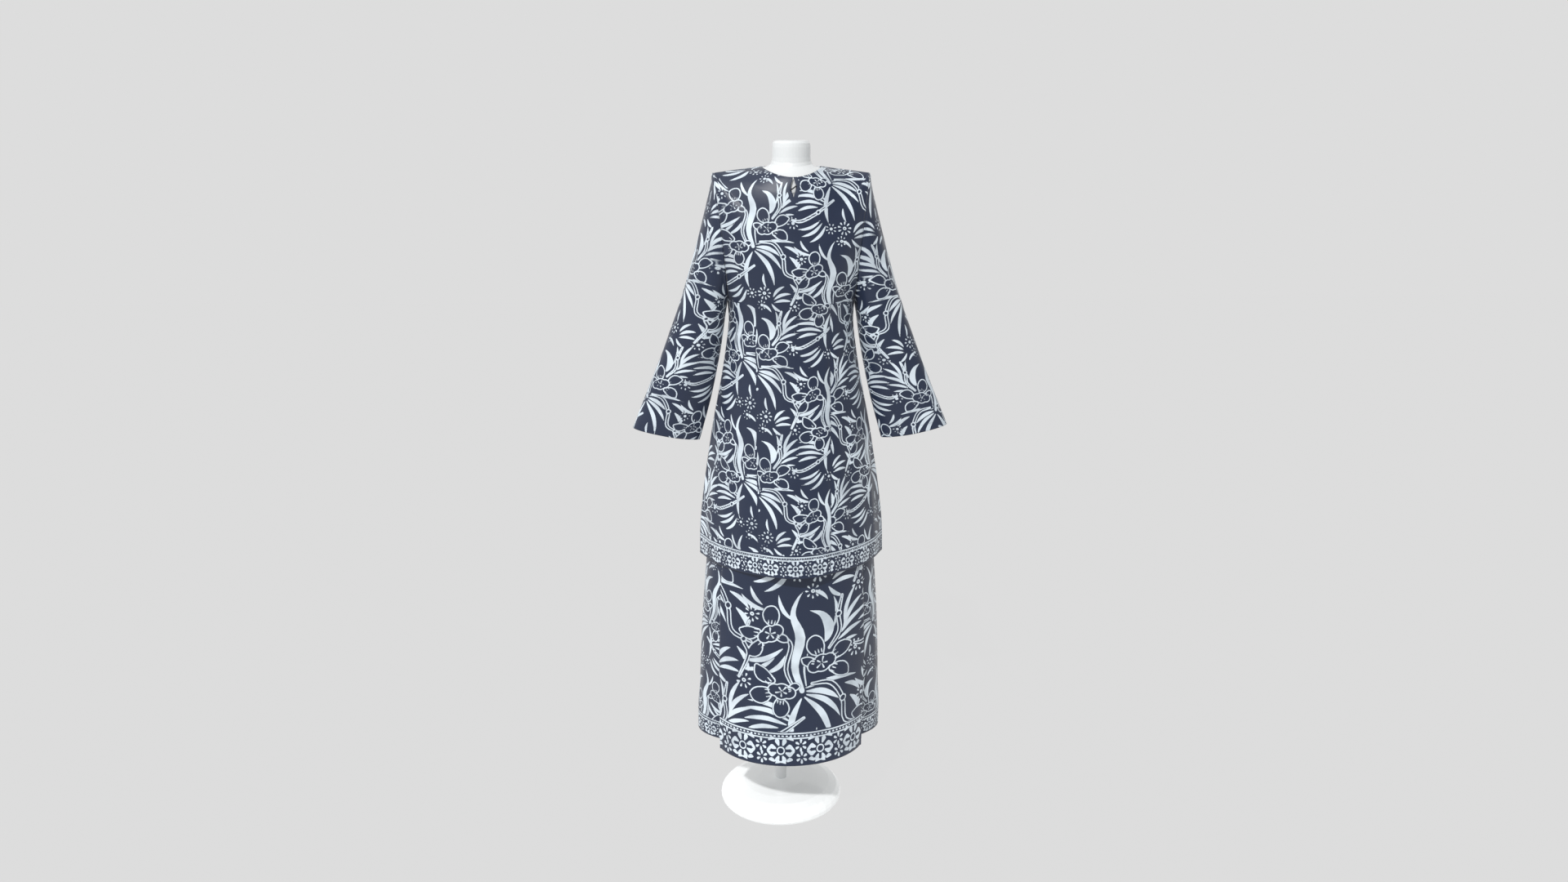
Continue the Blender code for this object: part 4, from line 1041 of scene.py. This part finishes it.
# %% Plain cloth, thread and gloss white
def mottled(name, grain, deep, worn, strength, distance, values):
    """A material that wanders between two tones, with a bump to match, and its plain values."""
    tree, shader = new_material(name)
    tone = noise(tree, add_node(tree, "TexCoord", out="Object"), *grain)
    colour, normal = mixed(tree, tone, deep, worn), bump(tree, tone, strength, distance)
    fill(shader, {"Base Color": colour, "Normal": normal, **values})


def plain_cloth(name, deep, worn, roughness):
    """Unprinted cloth or thread."""
    mottled(name, (240.0, 3.0), deep, worn, 0.35, 0.0002, {"Roughness": roughness, "Sheen Weight": 0.15})


def gloss_white(name, pale, roughness, glow):
    """Moulded white plastic under a clear coat.

    A little glow is painted light: it stands for the light that the pale studio floor throws back into
    shadowed white.
    """
    mottled(name, (14.0, 2.0), tuple(0.97 * c for c in pale), pale, 0.05, 0.0006, {
        "Roughness": roughness, "Coat Weight": 0.4, "Coat Roughness": 0.12,
        "Emission Color": (0.97, 1.0, 1.0), "Emission Strength": glow})


printed_cloth()
plain_cloth("cloth_inside", (0.0130, 0.0160, 0.0300), (0.0240, 0.0290, 0.0480), 0.72)
plain_cloth("navy_thread", (0.020, 0.026, 0.050), (0.040, 0.048, 0.080), 0.6)
plain_cloth("loop_dark", (0.010, 0.011, 0.018), (0.022, 0.024, 0.034), 0.55)
# Painted light: every white glows a little, and the stand's paler white and stronger glow brighten its
# shaded side.
gloss_white("form_gloss", (0.815, 0.836, 0.842), 0.24, 0.02)
gloss_white("stand_gloss", (0.890, 0.905, 0.908), 0.18, 0.24)
gloss_white("rod_gloss", (0.800, 0.820, 0.830), 0.22, 0.04)
print("materials:", len(bpy.data.materials))

# %% [markdown]
# ## The tunic's front and back
#
# The front is one piece of cloth with a long dart each side of the centre and a keyhole at the neck.
# Beyond the darts the print starts at another place, because the side parts were laid on the cloth
# separately. The grid is laid first. Then the cloth is pressed: a small swell beside each sewn edge, the
# listed troughs, and the darts. Everything that moves the cloth fades to nothing at a seam, so the
# pieces stay joined.

# %% Pressing and attaching a piece
SEAM_SWELL = 0.0010             # how far the cloth stands up beside a sewn edge
SEAM_WIDTH = 0.007
SEAM_HOLD = 0.014               # creases and puckers fade out this near a seam


def laid(grid, facing, warp, straight_from, creases=(), seams=(), extra=None):
    """A grid with creases and seams pressed in, its outward directions, and its flat places."""
    normals = grid_normals(grid, facing)
    across, up = cut_places(grid, normals, warp, straight_from)
    if seams:
        distance = edge_distance(grid, seams)
        hold = 1.0 - np.exp(-((distance / SEAM_HOLD) ** 2))
        swell = (distance / SEAM_WIDTH) ** 2
        rise = SEAM_SWELL * swell * np.exp(1.0 - swell) + pucker(across, up, distance) * hold
        rise += hold * (pressed(across, up, creases) + (extra(across, up) if extra else 0.0))
        grid = grid + normals * rise[..., None]
    return grid, grid_normals(grid, facing), across, up


def finish_cloth(piece, node, grid, threads=()):
    """Attaches a piece of cloth and its stitches to the frame's root body and hides the solid that it
    replaces. The flat size of its grid is worked out but not used.
    """
    size = tuple(round(float(lengths(grid, axis).max()), 3) for axis in (1, 0))
    for part in (piece, *threads):
        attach(part, "root")
    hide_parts(node)


# %% Stitches
STITCH_PITCH, STITCH_LENGTH = 0.0040, 0.0030
STITCH_HALF, STITCH_HIGH = 0.00035, 0.00040
STITCH_FIRST = 0.002            # where a row of stitches starts on its line
HEM_STITCHES = HEM_TURN - HEM_STEP      # their height, just inside the turned edge


def point_at(value, places, path):
    """The point of a path where its places, which rise, reach a value."""
    return np.array([np.interp(value, places, path[:, i]) for i in range(3)])


def stitches(name, paths):
    """A row of small raised threads along each path; a path is its points and their outward directions."""
    points, faces = [], []
    for path, outward in paths:
        length = lengths(path, 0)
        for start in np.arange(STITCH_FIRST, length[-1] - STITCH_LENGTH, STITCH_PITCH):
            a, m, b = (point_at(start + s * STITCH_LENGTH, length, path) for s in (0.0, 0.5, 1.0))
            n = unit(point_at(start, length, outward))
            side = unit(np.cross(b - a, n)) * STITCH_HALF
            base = len(points)
            points += [a, m - side, m + n * STITCH_HIGH, m + side, b, m - n * STITCH_HIGH]
            ring = (1, 2, 3, 5)
            for p, q in zip(ring, ring[1:] + ring[:1]):
                faces.append((base, base + p, base + q))
                faces.append((base + 4, base + q, base + p))
    return add_mesh(name, np.array(points) + GARMENT_PLACE, faces, "navy_thread")


def line_at(value, places, grid, normals):
    """The line over a grid where the places, which rise along each row, reach a value."""
    path, outward = (np.array([point_at(value, *pair) for pair in zip(places, rows)])
                     for rows in (grid, normals))
    return path, unit(outward)


def sew(name, grid, normals, up, fields, paths=(), slit=None):
    piece = shell(name, grid, normals, fields, up, slit)
    hem = line_at(HEM_STITCHES, up[::-1].T, grid[::-1].transpose(1, 0, 2), normals[::-1].transpose(1, 0, 2))
    finish_cloth(piece, name, grid, [stitches(name + "_stitches", [hem, *paths])])


# %% Tunic
TUNIC_COLUMNS = 224
TUNIC_ROWS = 0.0030             # between rows of the tunic, along its longest line
SLIT = ((0.0, 0.0003), (1.0, 0.0026), (2.0, 0.0055), (3.0, 0.0044), (4.0, 0.0))
SLIT_END = 4.0
SLIT_GATHER = 0.020
KEYHOLE_BARE = 0.011            # the cloth has no print this near the keyhole
KEEP_PANEL = 0.090              # the print's main part reaches this far from the centre line
SHIFT_TOP = 0.640               # the side parts' own print starts below this height above the hem
FRONT_START, BESIDE_START, BACK_START = (-0.090, -0.080), (0.050, 0.090), (0.020, 0.030)
DART_DIP, DART_WIDTH = 0.0014, 0.006
DART_FADES = 0.06, 0.03         # over which the dart ends at its top and at the hem
DART_STITCHES = 0.60, 0.0025, 8     # their top, how far beside the dart, and the rows left free at the hem
NECK_ROW = 3                    # the row that the neckline's stitches follow


def tunic_levels():
    """Levels of the tunic's rows, the same for front and back so that the side seams meet."""
    def line(facing, column):
        return lambda level: tunic_row(facing, level, np.array([-1.0, -0.5, 0.0, 0.5, 1.0]))[column]

    lines = [line(facing, column) for facing in (-1, 1) for column in (2, 3, 4)]
    upper = even_levels(lines, 0.0, SLIT_END, TUNIC_ROWS)
    lower = even_levels(lines, SLIT_END, float(HEM_LEVEL), TUNIC_ROWS)
    return np.concatenate([upper, lower[1:]])


def dart(across, up):
    """How the long dart each side of the front draws the cloth in."""
    deep = np.exp(-(((np.abs(across) - KEEP_PANEL) / DART_WIDTH) ** 2))
    deep *= np.clip((SHIFT_TOP - up) / DART_FADES[0], 0.0, 1.0)
    return -DART_DIP * deep * np.clip(up / DART_FADES[1], 0.0, 1.0)


def open_keyhole(grid, levels):
    """Draws the grid apart beside the keyhole, and gives its half width in each of its rows."""
    steps, halves = np.array(SLIT).T
    slit = np.maximum(curve(steps, halves, levels[levels < SLIT_END - 1e-9]), 0.0)
    rows = np.arange(len(slit))
    off = grid[rows, :, 0] - grid[rows, TUNIC_COLUMNS // 2, 0][:, None]
    grid[rows, :, 0] += np.sign(off) * slit[:, None] * np.exp(-((off / SLIT_GATHER) ** 2))
    return slit


def tunic_cloth(facing, levels, extra=None):
    """The laid-out grid of the tunic's front (-1) or back (+1)."""
    shares = np.linspace(-1.0, 1.0, TUNIC_COLUMNS + 1)
    grid = np.array([tunic_row(facing, level, shares) for level in levels])
    underarm = int(np.searchsorted(levels, UNDERARM_LEVEL))
    return laid(grid, facing, -UP, underarm, TUNIC_CREASES, ("left", "right"), extra)


def tunic_front(levels):
    """The tunic's front, with its keyhole, its darts and the stitches beside them."""
    grid, normals, across, up = tunic_cloth(-1, levels, dart)
    slit = open_keyhole(grid, levels)
    normals = grid_normals(grid, -1)
    beside = (np.abs(across) > KEEP_PANEL) & (up < SHIFT_TOP)
    start = [np.where(beside, side, front) for side, front in zip(BESIDE_START, FRONT_START)]
    fields = printed(across, up, start)
    half = TUNIC_COLUMNS // 2
    bare = KEYHOLE_BARE - np.hypot(across, np.maximum(up[len(slit), half] - up, 0.0))
    for layer in LAYERS:
        plain = FAR * MM if layer.startswith("hollow") else np.maximum(fields[layer], bare)
        fields[layer] = np.where(bare > 0.0, plain, fields[layer])
    neck, out = grid[NECK_ROW], normals[NECK_ROW]
    top, away, free = DART_STITCHES
    rows = slice(int(np.argmax(up[:, half] < top)), len(grid) - free)
    paths = [(neck[:half - 1], out[:half - 1]), (neck[half + 2:], out[half + 2:])]
    paths += [line_at(way * (KEEP_PANEL + away), across[rows], grid[rows], normals[rows])
              for way in (-1, 1)]
    sew("tunic_front", grid, normals, up, fields, paths, slit)


def tunic_back(levels):
    """The tunic's back, with stitches along its neckline."""
    grid, normals, across, up = tunic_cloth(1, levels)
    neck = (grid[NECK_ROW], normals[NECK_ROW])
    sew("tunic_back", grid, normals, up, printed(across, up, BACK_START), [neck])


levels = tunic_levels()
tunic_front(levels)
tunic_back(levels)

# %% [markdown]
# ## The sleeves
#
# Each sleeve is one piece, closed by a seam under the arm and flaring to the cuff. Its hang is the
# cloth's own: empty sleeves fall in an oval, fuller at the back. The print runs along the sleeve, and the
# cuff has a plain turned hem with no border, as the cloth's border was used up for the tunic's hem.

# %% Sleeves
SLEEVE_COLUMNS = 144
SLEEVE_WARP = (0.135, 0.0, -0.465)


def sleeve_piece(name, side, start):
    """One sleeve: +1 is the wearer's left."""
    shares = np.linspace(0.0, 1.0, SLEEVE_COLUMNS + 1)
    ways = even_levels([lambda way: sleeve_row(way, np.array([0.5]), side)[0],
                        lambda way: sleeve_row(way, np.array([0.3]), side)[0]], 0.0, 1.0, GRID)
    grid = np.array([sleeve_row(way, shares, side) for way in ways])
    from_middle = grid - grid.mean(axis=1, keepdims=True)
    facing = 1.0 if np.sum(grid_normals(grid, 1.0) * from_middle) > 0 else -1.0
    warp = unit(np.array(SLEEVE_WARP) * (side, 1.0, 1.0))
    seams = ("top", "left", "right")
    grid, normals, across, up = laid(grid, facing, warp, len(grid) - 1, SLEEVE_CREASES, seams)
    fields = printed(across, up, start, border=False)
    sew(name, grid, normals, up, fields)


sleeve_piece("sleeve_left", 1.0, (0.030, 0.050))
sleeve_piece("sleeve_right", -1.0, (0.020, 0.090))

# %% [markdown]
# ## The skirt
#
# The skirt's front is a flat panel with a pleat flap turned back behind each edge, and its print and
# border are larger than the tunic's. The sides and the back are one more piece, from pleat to pleat. The
# rows that hide under the tunic are further apart, which keeps the mesh light.

# %% Skirt and waistband
HIDDEN_ABOVE = 0.760            # the tunic covers the skirt above this height
HIDDEN_GRID = 0.008
PANEL_COLUMNS = 157
SIDE_COLUMNS = 66
BACK_COLUMNS = 173
SKIRT_TOP, SKIRT_HEM = 1.2677, 0.217


def skirt_levels(row):
    """Heights of a skirt piece's rows: coarse under the tunic, fine below it."""
    lines = [lambda z, c=c: row(z)[int(c * (len(row(z)) - 1))] for c in (0.25, 0.5)]
    upper = even_levels(lines, SKIRT_TOP, HIDDEN_ABOVE, HIDDEN_GRID, 60)
    lower = even_levels(lines, HIDDEN_ABOVE, SKIRT_HEM, GRID, 120)
    return np.concatenate([upper, lower[1:]])


def skirt_piece(name, row, facing, creases, start, scale):
    """A piece of the skirt with its stitches."""
    grid = np.array([row(z) for z in skirt_levels(row)])
    grid, normals, across, up = laid(grid, facing, -UP, 0, creases, ("left", "right", "top"))
    sew(name, grid, normals, up, printed(across, up, start, scale))


panel_shares = np.linspace(-1.0, 1.0, PANEL_COLUMNS)
back_shares = np.linspace(-1.0, 1.0, BACK_COLUMNS)
skirt_piece("skirt_front", lambda z: skirt_front_row(z, panel_shares), -1.0, PANEL_CREASES,
            (0.020, 0.200), 1.65)
skirt_piece("skirt_back", lambda z: skirt_back_row(z, SIDE_COLUMNS, back_shares), 1.0, SKIRT_BACK_CREASES,
            (0.000, 0.040), 1.0)

WAIST = (0.1293, 0.0918, 0.0793)    # the band's half width, front and back
WAIST_LEVELS = np.linspace(1.300, 1.268, 9)
WAIST_COLUMNS = 97
WAIST_START = (0.0, 0.1)        # of its print


def waistband():
    """The band round the form's waist, one strip of cloth whose ends meet at the side."""
    half, front, back = WAIST
    shares = np.linspace(-1.0, 1.0, WAIST_COLUMNS)
    rows = []
    for z in WAIST_LEVELS:
        ahead, behind = (section((half, 0.0, z), depth, z, 90.0, 1.0, facing, shares)
                         for depth, facing in ((front, -1), (back, 1)))
        rows.append(np.vstack([ahead, behind[::-1][1:]]))
    grid, normals, across, up = laid(np.array(rows), -1.0, -UP, 0)
    fields = printed(across, up, WAIST_START, border=False)
    finish_cloth(shell("skirt_waistband", grid, normals, fields, up + HEM_TURN), "skirt_waistband", grid)


waistband()

# %% [markdown]
# ## Loop, form and stand
#
# A keyhole is closed by a loop of thread. It is sewn down at both ends, so it stays where it is.

# %% Loop
LOOP_PLACE = (0.0, -0.09205, 1.5960)
LOOP_LEAN = 0.375               # how far the chest below it comes forward for each metre down
LOOP_REACH, LOOP_RISE = 0.0088, 0.0036      # half its length, and how far its middle stands forward
LOOP_TILT = math.radians(36.0)
STRAND_RADIUS, STRAND_OFF = 0.00100, 0.00078
STRAND_TURNS = 5.0              # round each other in half the loop's length
LOOP_STEPS, LOOP_SIDES = 96, 8


def round_loop(angle):
    """The direction at an angle round the loop's own line."""
    return np.array([-math.sin(LOOP_TILT) * math.cos(angle), math.sin(angle),
                     math.cos(LOOP_TILT) * math.cos(angle)])


def loop():
    """The thread loop across the keyhole, two strands laid round each other."""
    points, faces = [], []
    for strand in range(2):
        rings = index_grid(LOOP_STEPS + 1, LOOP_SIDES, len(points)).tolist()
        for i in range(LOOP_STEPS + 1):
            way = 2.0 * i / LOOP_STEPS - 1.0
            along, up = LOOP_REACH * way * math.cos(LOOP_TILT), LOOP_REACH * way * math.sin(LOOP_TILT)
            middle = np.array([along, LOOP_LEAN * up - LOOP_RISE * (1.0 - way * way), up]) + LOOP_PLACE
            middle += STRAND_OFF * round_loop(2.0 * math.pi * (STRAND_TURNS * way + 0.5 * strand))
            points += [middle + STRAND_RADIUS * round_loop(2.0 * math.pi * k / LOOP_SIDES)
                       for k in range(LOOP_SIDES)]
        for ring, following in zip(rings, rings[1:]):
            for k in range(LOOP_SIDES):
                faces.append((ring[k - 1], ring[k], following[k], following[k - 1]))
        faces += [rings[0][::-1], rings[-1]]
    made = add_mesh("neck_loop_thread", np.array(points) + GARMENT_PLACE, faces, "loop_dark")
    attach(made, "root")
    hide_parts("neck_loop")


loop()

# %% Form and stand
FINISHES = {"form_torso": "form_gloss", "stand_rod": "rod_gloss", "stand_base": "stand_gloss"}
for name, finish in FINISHES.items():
    for place in bpy.data.objects[name].material_slots:
        place.material = bpy.data.materials[finish]
meshes = [o.data for o in bpy.data.objects if o.type == "MESH"]
print("triangles:", sum(len(mesh.loop_triangles) or len(mesh.polygons) * 2 for mesh in meshes))
